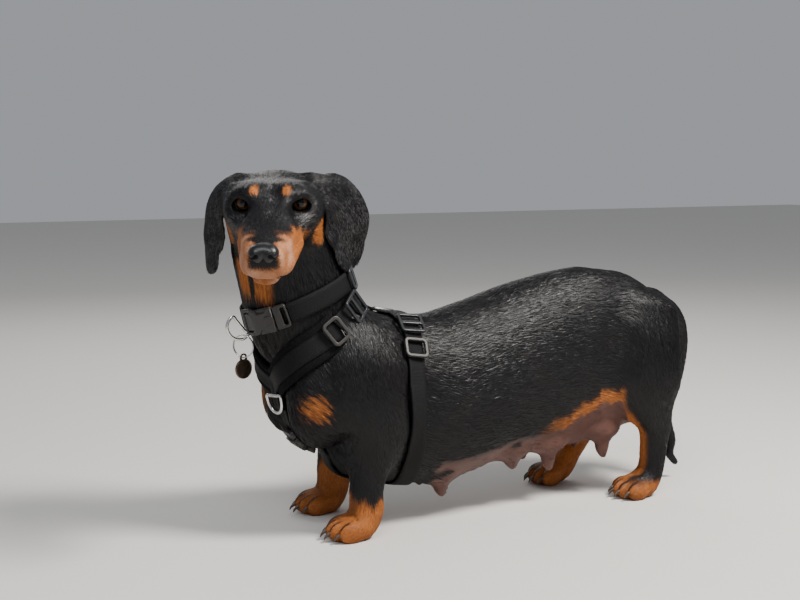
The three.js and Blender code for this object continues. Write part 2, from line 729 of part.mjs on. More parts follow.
const LEG_GRID = { rings: 16, around: 14 };
let bodyRoom = torsoRoom.add(neckRoom);
for (const leg of legs) {
  const skin = castSkin(leg.form, legField(leg), LEG_GRID);
  let solid = solidOf(skin).subtract(torsoRoom).subtract(neckRoom);
  for (const toe of leg.toes) solid = solid.add(claw(toe));
  addNode(leg.name, solid.subtract(GROUND), "coat");
  bodyRoom = bodyRoom.add(roomOf(skin));
}

// Head, with its lids, mouth and the room for the eyes and nose; then ears, eyes and nose
const HEAD_GRID = { rings: 27, around: 26, caps: 4 };
const NOSE_GRID = { rings: 2, around: 13, caps: 3 };
const noseForm = new Form(
  [[NOSE.forward - 4, 0, NOSE.up, 10, 8, 8], [NOSE.forward + 3, 0, NOSE.up, 10, 8, 8]],
  headAxes,
);
const eyeball = (s, radius) =>
  egg([EYE_AT.forward, s * EYE_AT.left, EYE_AT.up], [radius, radius, radius], 13);

const headSkin = castSkin(skull, headDistance, HEAD_GRID);
const noseSkin = castSkin(noseForm, noseDistance, NOSE_GRID);
let head = solidOf(headSkin);
for (const s of [1, -1]) {
  head = head.subtract(solidOf(eyeOpening(s))).subtract(solidOf(eyeball(s, EYE_RADIUS + GAP)));
}
head = head.subtract(solidOf(mouthSlit()));
head = head.subtract(roomOf(noseSkin));
addNode("head", solidOf(inWorld(geometryOf(head))).subtract(neckRoom), "coat");

let nose = solidOf(noseSkin);
for (const s of [1, -1]) {
  const nostril = egg([NOSE.forward + 9.5, s * 5.6, NOSE.up + 0.2], [5, 2.5, 2.9], 8);
  const slit = egg([NOSE.forward + 7, s * 9.5, NOSE.up - 2.2], [6, 4.2, 1.1], 8);
  nose = nose.subtract(solidOf(nostril)).subtract(solidOf(slit));
}
addNode("nose", solidOf(inWorld(geometryOf(nose))), "nose");

for (const side of Object.keys(SIDES)) {
  const s = side === "left" ? 1 : -1;
  addNode(`eye_${side}`, solidOf(inWorld(eyeball(s, EYE_RADIUS))), "eye");
}

// Collar: webbing round the neck, low in front, with a buckle, a slider and a ring with a tag
const COLLAR = { middle: [-55, 0, 239], tilt: 22.5, reach: 55, thick: 2.4 };
const SEAT = 0.35; // from a strap to what is set on it

function collarPoint(degrees) {
  const [x, , z] = COLLAR.middle;
  const lean = THREE.MathUtils.degToRad(COLLAR.tilt);
  const angle = THREE.MathUtils.degToRad(degrees);
  const back = Math.cos(angle) * COLLAR.reach;
  return [x + back * Math.cos(lean), -Math.sin(angle) * COLLAR.reach, z + back * Math.sin(lean)];
}

const blockProfile = (width, thick) => [
  [-width / 2, 0], [0, 0], [width / 2, 0], [width / 2, thick - 2], [width / 2 - 2, thick],
  [0, thick], [-width / 2 + 2, thick], [-width / 2, thick - 2],
];
const BUCKLE = { width: 26, thick: 8 };
const collar = new Route(Array.from({ length: 12 }, (_, i) => collarPoint(i * 30)), true);
const COLLAR_BUCKLE = [0.335, 0.49];
const collarBand = collar.band(webbingProfile(WEBBING, 0, COLLAR.thick), { from: 0.493, to: 1.332 });
addNode("collar", solidOf(collarBand).subtract(bodyRoom), "webbing");
const headRoom = roomOf(inWorld(headSkin));
for (const side of Object.keys(SIDES)) {
  const ear = solidOf(earGeometry(side)).subtract(headRoom).subtract(neckRoom);
  addNode(`ear_${side}`, ear.subtract(roomOf(collarBand)), "coat");
}

addNode("collar_buckle", solidOf(collar.band(blockProfile(BUCKLE.width, BUCKLE.thick), {
  from: COLLAR_BUCKLE[0], to: COLLAR_BUCKLE[1], pace: 6,
})).subtract(bodyRoom), "plastic");

const onRoute = (geometry, route, share, height) =>
  solidOf(geometry.applyMatrix4(route.matrix(share, height)));
addNode("collar_slider", onRoute(slider(16, 23, 2.4), collar, 0.092, COLLAR.thick + SEAT + 1.6), "black_plastic");

const RING = { width: 24, reach: 14, wire: 1.6, droop: 25 };
const TAG_RING = { radius: 11, wire: 1.1 };
const TAG = { radius: 10, thick: 1.8, lug: 4, hole: 2.4, holeAt: 11.5 };
const ringSeat = collar.frame(0.515, COLLAR.thick + SEAT + RING.wire + 4.8);
const ringDroop = THREE.MathUtils.degToRad(RING.droop);
const ringOut = ringSeat.out.clone().applyAxisAngle(new THREE.Vector3(0, 1, 0), -ringDroop);
const ringAcross = new THREE.Vector3(-ringOut.z, 0, ringOut.x).normalize();
if (ringAcross.z < 0) ringAcross.negate();
const ringOrigin = ringSeat.at.clone().addScaledVector(ringAcross, -4.5);
ringOut.setY(0).normalize();
const ringUp = new THREE.Vector3().crossVectors(ringOut, ringAcross);
const ringMatrix = new THREE.Matrix4().makeBasis(ringOut, ringAcross, ringUp).setPosition(ringOrigin);
const collarRing = dRing(RING.width, RING.reach, RING.wire);
addNode("collar_ring", solidOf(collarRing.applyMatrix4(ringMatrix)), "steel");

const circle = (radius) => new THREE.CatmullRomCurve3(
  Array.from({ length: 16 }, (_, i) => new THREE.Vector3(
    radius * Math.cos((i / 8) * Math.PI), radius * Math.sin((i / 8) * Math.PI), 0,
  )), true,
);
const hangAt = ringOrigin.clone().addScaledVector(ringOut, RING.reach * 0.3)
  .addScaledVector(ringAcross, -RING.width / 2 + RING.wire + TAG_RING.wire + 0.3);
const tagRingAt = hangAt.clone().setZ(hangAt.z - TAG_RING.radius);
const upright = (turn, at) => new THREE.Matrix4().makeRotationZ(THREE.MathUtils.degToRad(turn))
  .multiply(new THREE.Matrix4().makeRotationX(Math.PI / 2)).setPosition(at);
const tagRing = tubeRing(circle(TAG_RING.radius), TAG_RING.wire, 20, 5);
addNode("tag_ring", solidOf(tagRing.applyMatrix4(upright(-48, tagRingAt))), "steel");
// The tag: a disc with a drilled lug at its top
const coin = (radius, y, thick, fine) =>
  solidOf(new THREE.CylinderGeometry(radius, radius, thick, fine).rotateX(Math.PI / 2).translate(0, y, 0));
const tagAt = tagRingAt.clone().setZ(tagRingAt.z - TAG_RING.radius - TAG.holeAt);
const tag = coin(TAG.radius, 0, TAG.thick, 24).add(coin(TAG.lug, TAG.holeAt, TAG.thick, 12))
  .subtract(coin(TAG.hole, TAG.holeAt, 2 * TAG.thick, 10));
addNode("id_tag", solidOf(geometryOf(tag).applyMatrix4(upright(18, tagAt))), "bronze");

// Harness: a fleece-lined Y on the chest, straps over the shoulders, and a girth behind the elbows
const sideRoutes = (s) => ({
  arm: new Route([[-86, 0, 150], [-80, s * 20, 161], [-68, s * 38, 181], [-50, s * 47, 198], [-36, s * 50, 210]]),
  shoulder: new Route([[-36, s * 50, 210], [-17, s * 42, 228], [-2, s * 26, 239], [6, s * 11, 241]]),
  girth: new Route([
    [50, s * 9, 222], [52, s * 36, 211], [48, s * 56, 190], [43, s * 64, 150], [43, s * 64, 108],
    [46, s * 48, 66], [48, s * 25, 47], [48, s * 9, 42],
  ]),
});
const stem = new Route([
  [-84, 0, 152], [-82, 0, 130], [-71, 0, 105], [-52, 0, 80], [-20, 0, 62], [20, 0, 48], [59, 0, 42],
]);
const spine = new Route([[-6, 0, 247], [18, 0, 236], [40, 0, 224], [61, 0, 218]]);
const wide = WEBBING + 2 * GAP;
const spineRoom = solidOf(spine.band(webbingProfile(wide, -3, 9)));
const stemRoom = solidOf(stem.band(webbingProfile(wide, -3, 9)));
const backBand = spine.band(webbingProfile(), { from: 0.03, to: 0.97 });
addNode("back_strap", solidOf(backBand).subtract(bodyRoom), "webbing");

const STEM_PAD_END = 0.14;
let chest = solidOf(stem.band(PAD_PROFILE, { to: STEM_PAD_END }));
const SHOULDER_RING = { length: 21, width: 26, thick: 3.5 };
const SLIDER = { length: 26, width: 27, thick: 3 };
for (const [side, s] of Object.entries(SIDES)) {
  const routes = sideRoutes(s);
  chest = chest.add(solidOf(routes.arm.band(PAD_PROFILE, { to: 0.985, pace: 12 })));
  const shoulder = solidOf(routes.shoulder.band(webbingProfile(), { from: 0.03 }));
  addNode(`shoulder_strap_${side}`, shoulder.subtract(spineRoom).subtract(bodyRoom), "webbing");
  const { length, width, thick } = SHOULDER_RING;
  const ringHeight = PAD_THICK + 1.8 + SEAT + 1.2;
  const ringOn = (route, share, height) => onRoute(squareRing(length, width, thick), route, share, height);
  addNode(`shoulder_ring_${side}`, ringOn(routes.arm, 0.95, ringHeight), "plastic");
  const sliderOn = (route, share, height) =>
    onRoute(slider(SLIDER.length, SLIDER.width, SLIDER.thick), route, share, height);
  addNode(`shoulder_slider_${side}`, sliderOn(routes.shoulder, 0.43, WEBBING_THICK + SEAT + 2.2), "black_plastic");
  const girth = solidOf(routes.girth.band(webbingProfile(), { pace: 12 }));
  const clearGirth = girth.subtract(spineRoom).subtract(stemRoom).subtract(bodyRoom);
  addNode(`girth_strap_${side}`, clearGirth, "webbing");
  addNode(`girth_slider_${side}`, sliderOn(routes.girth, 0.125, WEBBING_THICK + SEAT + 1.6), "black_plastic");
  addNode(`girth_ring_${side}`, ringOn(routes.girth, 0.245, WEBBING_THICK + SEAT + 1.2), "plastic");
}
addNode("harness_chest", chest.subtract(bodyRoom), "fleece");
const sternumBand = stem.band(webbingProfile(), { from: STEM_PAD_END + 0.004, to: 0.985 });
addNode("sternum_strap", solidOf(sternumBand).subtract(bodyRoom), "webbing");
// The front ring hangs from the pad, turned towards the dog's left
const FRONT_RING = { width: 20, reach: 18, wire: 1.7, turn: 20, aside: 11 };
const frontTurn = THREE.MathUtils.degToRad(FRONT_RING.turn);
const frontLift = (FRONT_RING.width / 2) * Math.sin(frontTurn) + FRONT_RING.wire;
const frontRing = dRing(FRONT_RING.width, FRONT_RING.reach, FRONT_RING.wire)
  .rotateX(-frontTurn).translate(0, FRONT_RING.aside, 0);
addNode("harness_ring", onRoute(frontRing, stem, 0.055, PAD_THICK + 1.8 + SEAT + frontLift), "steel");

const buckleProfile = webbingProfile(BUCKLE.width, WEBBING_THICK + SEAT, 7);
const sternumBuckle = stem.band(buckleProfile, { from: 0.26, to: 0.42, pace: 7 });
addNode("sternum_buckle", solidOf(sternumBuckle).subtract(roomOf(sternumBand)), "plastic");

// Origin: the middle of the model's footprint, on the floor
const box = new THREE.Box3().setFromObject(dog);
dog.position.set(-(box.min.x + box.max.x) / 2, -(box.min.y + box.max.y) / 2, -box.min.z);
dog.updateMatrixWorld(true);

export default dog;
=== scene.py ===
from math import cos, pi, radians, sin

import bpy
import numpy as np
from mathutils import Matrix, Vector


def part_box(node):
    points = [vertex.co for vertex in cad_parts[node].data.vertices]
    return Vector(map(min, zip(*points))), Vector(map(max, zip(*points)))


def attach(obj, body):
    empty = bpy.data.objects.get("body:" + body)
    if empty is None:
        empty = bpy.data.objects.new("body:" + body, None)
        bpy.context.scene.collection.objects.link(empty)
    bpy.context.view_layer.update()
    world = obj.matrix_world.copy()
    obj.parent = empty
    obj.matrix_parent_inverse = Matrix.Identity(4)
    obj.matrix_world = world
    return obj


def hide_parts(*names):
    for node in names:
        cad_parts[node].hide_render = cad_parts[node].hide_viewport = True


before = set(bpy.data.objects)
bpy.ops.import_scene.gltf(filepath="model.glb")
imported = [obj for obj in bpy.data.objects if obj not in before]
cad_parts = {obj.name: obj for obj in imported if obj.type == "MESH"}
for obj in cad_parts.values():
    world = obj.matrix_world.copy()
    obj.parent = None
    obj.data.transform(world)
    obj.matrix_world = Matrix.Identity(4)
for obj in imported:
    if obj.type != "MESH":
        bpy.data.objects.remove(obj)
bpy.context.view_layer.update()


# The trunk, neck, tail and legs
# A long, low body of muscle over bone, on short strong legs with four toes each on the ground. Each is
# a rounded form along its middle line, and they flow into one another where they meet.
FAR = 500.0   # a distance that is given where a form is out of reach
TINY = 1e-6


def unit(v):
    """Vectors of length one, the same way."""
    v = np.asarray(v, float)
    return v / np.maximum(np.linalg.norm(v, axis=-1, keepdims=True), 1e-9)


def dots(a, b):
    """The dot product of each row with its fellow."""
    return np.einsum("ij,ij->i", a, b)


def curve_points(points, ts):
    """Points at the shares ts of a smooth curve through evenly paced points."""
    points = np.asarray(points, float)
    padded = np.array([2 * points[0] - points[1], *points, 2 * points[-1] - points[-2]])
    at = np.clip(np.asarray(ts, float), 0, 1) * (len(points) - 1)
    index = np.minimum(at.astype(int), len(points) - 2)
    w = (at - index)[..., None]
    p0, p1, p2, p3 = (padded[index + k] for k in range(4))
    m1, m2 = 0.5 * (p2 - p0), 0.5 * (p3 - p1)
    cubic = (2 * p1 - 2 * p2 + m1 + m2) * w**3 + (-3 * p1 + 3 * p2 - 2 * m1 - m2) * w**2
    return cubic + m1 * w + p1


def curve_way(points, ts, tiny=1e-4):
    """The curve's direction at the shares ts."""
    return unit(curve_points(points, ts + tiny) - curve_points(points, ts - tiny))


def where_near(p, low, high, measure):
    """What the measure gives for the points inside a box, and a far distance elsewhere."""
    out = np.full(len(p), FAR)
    near = np.all((p > low) & (p < high), axis=1)
    if near.any():
        out[near] = measure(p[near])
    return out


def swell(s, u, v, power):
    """How many times too far out a point is, for a section that is rounder or squarer."""
    return (np.abs(s) ** power + np.abs(u) ** power + np.abs(v) ** power) ** (1 / power)


class Form:
    """A limb or trunk: stations [x, y, z, half width, over, under] along its middle line."""

    def __init__(self, stations, sideways=(0, 1, 0), power=2.0, steps=4, cap=0.8):
        stations = np.array(stations, float)
        ts = np.linspace(0, 1, (len(stations) - 1) * steps + 1)
        self.at = curve_points(stations[:, :3], ts)
        self.radii = curve_points(stations[:, 3:], ts)
        self.along = curve_way(stations[:, :3], ts)
        self.over = unit(np.cross(self.along, unit(sideways)))
        self.side = unit(np.cross(self.over, self.along))
        self.power, self.cap = power, cap
        reach = self.radii.max() + 34   # as far out as the widest join of two forms is felt
        self.low = self.at.min(0) - reach
        self.high = self.at.max(0) + reach

    def nearest(self, p):
        """The segment beside each point, and the share along it at which the point lies level."""
        far = np.stack([((p - a) ** 2).sum(1) for a in (self.at[1:] + self.at[:-1]) / 2])
        index = far.argmin(0)
        last = len(self.at) - 2
        for _ in range(2):
            before = dots(p - self.at[index], self.along[index])
            after = dots(p - self.at[index + 1], self.along[index + 1])
            index = np.clip(index + (after > 0).astype(int) - (before < 0).astype(int), 0, last)
        before = dots(p - self.at[index], self.along[index])
        after = dots(p - self.at[index + 1], self.along[index + 1])
        share = before / np.where(before - after > TINY, before - after, TINY)
        return index, np.clip(share, 0, 1)

    def local(self, p):
        """Distance, end flag, and the point's side, over and along parts with its radii and share."""
        index, share = self.nearest(p)
        w = share[:, None]
        blend = lambda rows: rows[index] * (1 - w) + rows[index + 1] * w
        q = p - blend(self.at)
        parts = [dots(blend(axis), q) for axis in (self.side, self.over, self.along)]
        last = len(self.at) - 2
        end = ((share == 0) & (index == 0)) | ((share == 1) & (index == last))
        return np.linalg.norm(q, axis=1), end, parts, blend(self.radii), (index + share) / (last + 1)

    def distance(self, p):
        return where_near(p, self.low, self.high, self.measure)

    def measure(self, p):
        far, end, (side, over, along), radii, _ = self.local(p)
        half = radii[:, 0]
        radius = np.where(over > 0, radii[:, 1], radii[:, 2])
        cap = self.cap * np.minimum(half, (radii[:, 1] + radii[:, 2]) / 2)
        ratio = swell(side / half, over / radius, np.where(end, along / cap, 0), self.power)
        return far * (1 - 1 / np.maximum(ratio, TINY)) - np.where(ratio < TINY, half, 0)


class Mass:
    """An egg-shaped mass, turned about its own upright axis."""

    def __init__(self, at, radii, turn=0.0, power=2.0):
        self.at = np.array(at, float)
        self.radii = np.array(radii, float)
        c, s = cos(radians(turn)), sin(radians(turn))
        self.turn = np.array([[c, -s, 0], [s, c, 0], [0, 0, 1]])
        self.power = power

    def distance(self, p):
        q = (p - self.at) @ self.turn
        ratio = np.maximum(swell(*(q / self.radii).T, self.power), TINY)
        return np.linalg.norm(q, axis=1) * (1 - 1 / ratio)


def fillet(a, b, size):
    """What a soft join of two fields adds outside both of them."""
    near = np.maximum(size - np.abs(a - b), 0) / size
    return near * near * size / 4


def join(a, b, size):
    """Two fields as one form, with a soft hollow of that size between them."""
    return np.minimum(a, b) - fillet(a, b, size)


def scoop(a, b, size):
    """The first field with the second cut out of it."""
    return -join(-a, b, size)


def nearest(masses, p):
    """The distance to the nearest of several forms."""
    return np.min([mass.distance(p) for mass in masses], axis=0)


def both(make):
    """A form on the one side, and its mirror image on the other."""
    return [make(1), make(-1)]


trunk = Form([
    [-22, 0, 143, 54, 55, 58], [-1, 0, 139, 60, 79, 82], [40, 0, 130, 66, 86, 88],
    [95, 0, 125, 68, 88, 89], [150, 0, 138, 66, 87, 89], [200, 0, 148, 62, 92, 95],
    [250, 0, 155, 58, 96, 99], [300, 0, 161, 55, 95, 96], [345, 0, 172, 50, 78, 82],
    [376, 0, 178, 36, 50, 56],
], power=2.2)
shoulder_points = both(lambda s: Mass([-48, s * 37, 137], [32, 27, 46]))
neck = Form([
    [-14, 0, 145, 56, 42, 50], [-29, 0, 178, 60, 47, 54], [-48, 0, 215, 52, 55, 54],
    [-59, -1, 260, 47, 56, 49], [-66, 1, 298, 46, 56, 47], [-72, 8, 322, 40, 50, 43],
], power=2.3)
tail = Form([
    [378, 0, 204, 17, 17, 17], [402, 0, 198, 14, 13, 13], [416, 0, 176, 12, 12, 12],
    [418, 0, 148, 10.5, 10.5, 10.5], [413, 0, 116, 9, 9, 9], [402, 0, 89, 8, 8, 8],
    [404, 0, 66, 7, 7, 7], [411, 0, 47, 6, 6, 6], [409, 0, 31, 5, 5, 5], [418, 0, 19, 3.6, 3.6, 3.6],
])


def foreleg_line(x, y):
    return [
        [x + 5, y * 0.8, 200, 16, 28, 28], [x - 3, y, 175, 22, 38, 38], [x - 6, y * 1.06, 145, 25, 41, 42],
        [x + 3, y * 1.08, 118, 24, 39, 36], [x + 3, y * 1.04, 95, 20, 28, 25], [x - 1, y, 70, 17, 20, 19],
        [x - 4, y, 46, 16, 17, 17], [x - 4, y, 28, 17, 17, 17], [x - 12, y, 15, 21, 17, 14],
        [x - 25, y, 12, 21, 14, 11],
    ]


LEG_LINES = {
    "foreleg_left": foreleg_line(0, -51),
    "foreleg_right": foreleg_line(8, 53),
    "hindleg_left": [
        [352, -32, 205, 20, 32, 40], [345, -42, 165, 26, 38, 48], [344, -46, 125, 25, 38, 42],
        [347, -46, 98, 19, 27, 28], [351, -45, 74, 14, 20, 17], [351, -45, 50, 13, 16, 15],
        [348, -45, 28, 14, 14, 14], [338, -45, 15, 18, 16, 14], [322, -46, 12, 19, 14, 11],
    ],
    "hindleg_right": [
        [350, 32, 205, 20, 36, 40], [330, 42, 165, 26, 44, 50], [306, 48, 128, 25, 36, 38],
        [310, 50, 98, 17, 24, 22], [320, 49, 74, 13, 15, 14], [318, 48, 56, 12, 14, 12],
        [303, 48, 35, 13, 13, 13], [287, 48, 17, 17, 15, 14], [270, 48, 12, 19, 14, 11],
    ],
}
TOE_SPREAD = [-15, -5.2, 5.2, 15]
TOE_REACH = [2, 8, 8, 2]
TOE_RADII = [13, 6.6, 10.5]
TOE_JOIN = 3.5


class Leg:
    """A limb with four toes, which lie side by side at its end."""

    def __init__(self, line):
        self.form = Form(line, power=2.2)
        x, y = line[-1][:2]
        self.toes = [(x - reach, y + spread) for reach, spread in zip(TOE_REACH, TOE_SPREAD)]
        self.masses = [Mass([tx, ty, 9.5], TOE_RADII) for tx, ty in self.toes]

    def distance(self, p):
        out = self.form.distance(p)
        near = out < 60
        if near.any():
            out[near] = join(out[near], nearest(self.masses, p[near]), TOE_JOIN)
        return out


legs = {name: Leg(line) for name, line in LEG_LINES.items()}


# The head
# A long narrow skull with a slight stop, strong jaws, and lids round the eyes. It is turned to the dog's
# left, and is modelled in its own axes: forward, left and up from a point between the eyes.
HEAD_AT = np.array([-102.0, -54.0, 333.0])
YAW, PITCH = radians(64.5), radians(14)
head_forward = np.array([-cos(YAW) * cos(PITCH), -sin(YAW) * cos(PITCH), -sin(PITCH)])
head_left = np.array([sin(YAW), -cos(YAW), 0])
HEAD_AXES = np.array([head_forward, head_left, np.cross(head_forward, head_left)])


def in_head(p):
    """Points of the dog in the head's own axes."""
    return (np.asarray(p, float) - HEAD_AT) @ HEAD_AXES.T


def from_head(p):
    """Points of the head in the dog's axes."""
    return np.asarray(p, float) @ HEAD_AXES + HEAD_AT


skull = Form([
    [-64, 0, -11, 32, 21, 32], [-48, 0, -9, 42, 26, 38], [-25, 0, -8, 43.5, 24, 38],
    [-2, 0, -11, 37, 23, 33], [18, 0, -15, 30, 21, 29], [42, 0, -21, 25, 18, 26],
    [66, 0, -25, 22, 15, 23], [79, 0, -27, 18, 12.5, 19],
], power=2.55)
jaw = Form([
    [-42, 0, -36, 24, 8, 14], [-10, 0, -42, 21, 7, 12], [25, 0, -46, 17, 6, 9],
    [55, 0, -48.5, 14, 5, 7], [71, 0, -49, 11.5, 4.5, 6],
])
flews = both(lambda s: Form([
    [18, s * 21, -32, 10, 9, 11], [42, s * 17.5, -36, 9.5, 10, 12],
    [64, s * 14, -38, 9.5, 10, 11], [78, s * 7.5, -35, 7.5, 7, 9],
]))
cheeks = both(lambda s: Mass([-34, s * 30.5, -25], [30, 15.5, 29]))
arches = both(lambda s: Mass([-14, s * 34, -9], [26, 9, 10], turn=-s * 12))
brows = both(lambda s: Mass([-8, s * 20, 7.5], [17, 13, 8]))
occiput = Mass([-62, 0, 1], [18, 20, 12])
stop = Mass([16, 0, 15], [20, 8, 7])
sockets = both(lambda s: Mass([16, s * 33, -1], [15, 12.5, 11]))

EYE_RADIUS = 10.5
EYE_AT = np.array([-10.5, 24.2, -1.0])
EYE_LOOK = radians(22)
LID = 1.4
MOUTH_SIDE = [[8, 31, -38], [24, 29, -44], [42, 26.5, -47.5], [60, 22, -48.5], [72, 14.5, -47],
              [79, 7, -43.5]]
MOUTH_FRONT = [81, 0, -41]
LIPS_PARTED = 1.2
NOSE_AT = np.array([82.0, 0, -21.0])

lids = both(lambda s: Mass(EYE_AT * [1, s, 1], np.array([0, 0.4, 0]) + (EYE_RADIUS + LID)))


def eye_plane(p, s):
    """Across, up and ahead of an eye, in its own look; across runs outwards from the nose."""
    q = p - EYE_AT * [1, s, 1]
    ahead = np.array([cos(EYE_LOOK), s * sin(EYE_LOOK), 0])
    across = np.array([-s * sin(EYE_LOOK), cos(EYE_LOOK), 0])
    return s * (q @ across), q[:, 2], q @ ahead


LIDS_MIDDLE, LIDS_HALF = -1.4, 9.9   # of the almond between the lids, across the eye
UPPER_ARCH, LOWER_ARCH = 7.4, 5.6


def lid_opening(across, up):
    """Roughly the distance outside the almond between the lids; its outer corner is the lower."""
    x = np.clip((across - LIDS_MIDDLE) / LIDS_HALF, -1.05, 1.05)
    rise = -0.9 * x
    arch = np.sqrt(np.maximum(1 - x * x, 0)) ** 1.1
    top = rise - 0.8 + UPPER_ARCH * arch
    bottom = rise - 0.9 - LOWER_ARCH * arch
    return np.maximum(np.maximum(up - top, bottom - up), (np.abs(across - LIDS_MIDDLE) - LIDS_HALF))


mouth_line = [[a, -b, c] for a, b, c in MOUTH_SIDE] + [MOUTH_FRONT] + MOUTH_SIDE[::-1]
mouth = Form([[*p, *[LIPS_PARTED] * 3] for p in mouth_line], sideways=(0, 0, 1), steps=6)

# What shapes the skull, in turn: how it is set in, the forms, and the width of the blend
HEAD_FORMS = (
    (join, cheeks, 12), (join, arches, 16), (join, brows, 16), (join, [occiput], 14), (scoop, [stop], 10),
    (scoop, sockets, 12), (join, flews, 5), (join, [jaw], 3), (join, lids, 5),
)


def head_distance(p):
    """The head's field, in the head's own axes."""
    d = skull.distance(p)
    for blend, forms, width in HEAD_FORMS:
        d = blend(d, nearest(forms, p), width)
    return d


# The ears
# Broad leaves of gristle and thin skin, rooted high on the skull. They fold out, hang down and lie on
# the cheek and the neck.
EARS = {
    "left": dict(
        line=[[-41, 24, 5], [-43, 38, 14], [-46, 54, 6], [-50, 66, -14], [-52, 72, -36],
              [-53, 73, -49], [-53, 72, -61]],
        backs=[[-1, 0.1, -0.15], [-0.8, 0.6, -0.1], [-0.82, 0.57, 0.05]]),
    "right": dict(
        line=[[-41, -24, 5], [-43, -38, 13], [-46, -53, 2], [-50, -63, -18], [-52, -67, -41],
              [-53, -69, -52], [-53, -69, -63]],
        backs=[[-1, -0.1, -0.15], [-0.94, -0.34, -0.1], [-0.96, -0.28, 0]]),
}
EAR_HALF_WIDTHS = [17, 21, 27, 33, 36, 34, 30]
EAR_CUPS = [11, 12, 10, 8, 7, 6, 5]
EAR_THICKNESSES = [9, 6.5, 4.8, 4.2, 4, 3.8, 3.6]
EAR_CLEAR = 3.6   # from the flesh to the middle of a leaf that lies on it
EAR_TIP, EAR_ROOT = 22, 6   # how far the round ends reach past the middle line
EAR_REACH = 60   # how far from its middle line a leaf is felt


class Ear:
    """An ear's leather: a cupped leaf from its root, out over the fold and down."""

    def __init__(self, side):
        s = 1 if side == "left" else -1
        shape = EARS[side]
        ts = np.linspace(0, 1, 31)
        self.at = curve_points(shape["line"], ts)
        self.along = curve_way(shape["line"], ts)
        self.out = unit(np.cross(self.along, curve_points(shape["backs"], ts))) * s
        self.back = unit(np.cross(self.out, self.along)) * s
        self.sizes = curve_points(np.stack([EAR_HALF_WIDTHS, EAR_CUPS, EAR_THICKNESSES], 1), ts)
        self.low = self.at.min(0) - EAR_REACH
        self.high = self.at.max(0) + EAR_REACH

    def local(self, p):
        """Share along, the parts backwards, out of the leaf and along it, and the sizes there."""
        # the leaf is wide and bends, so the station is the nearest of those that the point lies level with
        level = np.stack([(p - a) @ along for a, along in zip(self.at, self.along)])
        far = np.stack([((p - a) ** 2).sum(1) for a in self.at])
        passed = (level[:-1] >= 0) & (level[1:] < 0)
        index = np.where(passed, far[:-1], far[:-1] + 2500).argmin(0)
        row = np.arange(len(p))
        before, after = level[index, row], level[index + 1, row]
        share = np.clip(before / np.where(before - after > TINY, before - after, TINY), 0, 1)
        w = share[:, None]
        blend = lambda rows: rows[index] * (1 - w) + rows[index + 1] * w
        q = p - blend(self.at)
        back, out, along = (dots(blend(axis), q) for axis in (self.back, self.out, self.along))
        return (index + share) / (len(self.at) - 1), back, out, along, blend(self.sizes).T

    def distance(self, p):
        return where_near(p, self.low, self.high, self.measure)

    def measure(self, p):
        share, back, out, along, (half, cup, thick) = self.local(p)
        end = np.where(along < 0, EAR_ROOT, EAR_TIP)
        beyond = np.maximum(np.abs(along) - 0.5, 0) / end
        u = np.sqrt((back / half) ** 2 + beyond ** 2)
        inner = np.minimum(np.abs(back) / half, 1)
        # the leaf lies on the cheek and neck where it would run into them, but not at its root
        under = np.minimum(join(skull.distance(p), nearest(cheeks, p), 12), neck.distance(from_head(p)))
        clear = under - EAR_CLEAR + 40 * np.clip(1 - share / 0.35, 0, 1)
        level = join(out + cup * inner ** 2, clear, 4)
        flat = np.abs(level) - (thick / 2) * (0.7 + 0.3 * np.sqrt(1 - inner ** 2))
        rim = (u - 1) * np.where(beyond > 0, end, half)
        return -join(-flat * 0.9, -rim, 2.2)


ears = {side: Ear(side) for side in EARS}


# The skin
# One skin covers trunk, neck, tail, legs, head and ears, and carries the folds, the lids and the mouth.
# It lies inside the solids by the coat's depth, is the level of a field in which the forms flow into
# one another, and is made in two parts that meet under the collar.
NECK_JOIN, LEG_JOIN, TAIL_JOIN, HEAD_JOIN = 30, 22, 12, 12
SHOULDER_JOIN, BREAST_JOIN = 16, 26
HEAD_REACH = 150   # round the middle of the head


def body_fields(p):
    """The distance to trunk, neck, tail, each leg and head, before they are joined."""
    parts = {"trunk": join(trunk.distance(p), nearest(shoulder_points, p), SHOULDER_JOIN),
             "neck": neck.distance(p), "tail": tail.distance(p)}
    parts |= {name: leg.distance(p) for name, leg in legs.items()}
    q = in_head(p)
    near = np.linalg.norm(q - [0, 0, -20], axis=1) < HEAD_REACH
    parts["head"] = np.full(len(p), FAR)
    parts["head"][near] = head_distance(q[near])
    return parts


def flow_together(parts):
    """The parts joined as flesh: each join is as wide as the muscles that cross it."""
    torso, neck_own, head_own, tail_own = (parts[name] for name in ("trunk", "neck", "head", "tail"))
    leg_parts = [parts[name] for name in legs]
    at_legs = [fillet(torso, d, LEG_JOIN) for d in leg_parts]
    at_neck, at_tail = fillet(torso, neck_own, NECK_JOIN), fillet(torso, tail_own, TAIL_JOIN)
    at_head = fillet(neck_own, head_own, HEAD_JOIN)
    return np.min([
        torso - np.max([*at_legs, at_neck, at_tail], axis=0), neck_own - np.maximum(at_neck, at_head),
        head_own - at_head, tail_own - at_tail, *(d - extra for d, extra in zip(leg_parts, at_legs)),
    ], axis=0)


def coat_field(p):
    """The coat's surface without the ears, as the solids have it."""
    return flow_together(body_fields(p))


COAT, FINE_COAT = 0.8, 0.4   # the coat's depth on the body, and on the face and feet
BODY_PACE, HEAD_PACE, NOSE_PACE = 2.2, 1.2, 0.55   # grid sizes
SOLES = 0.15   # the height at which they are flat


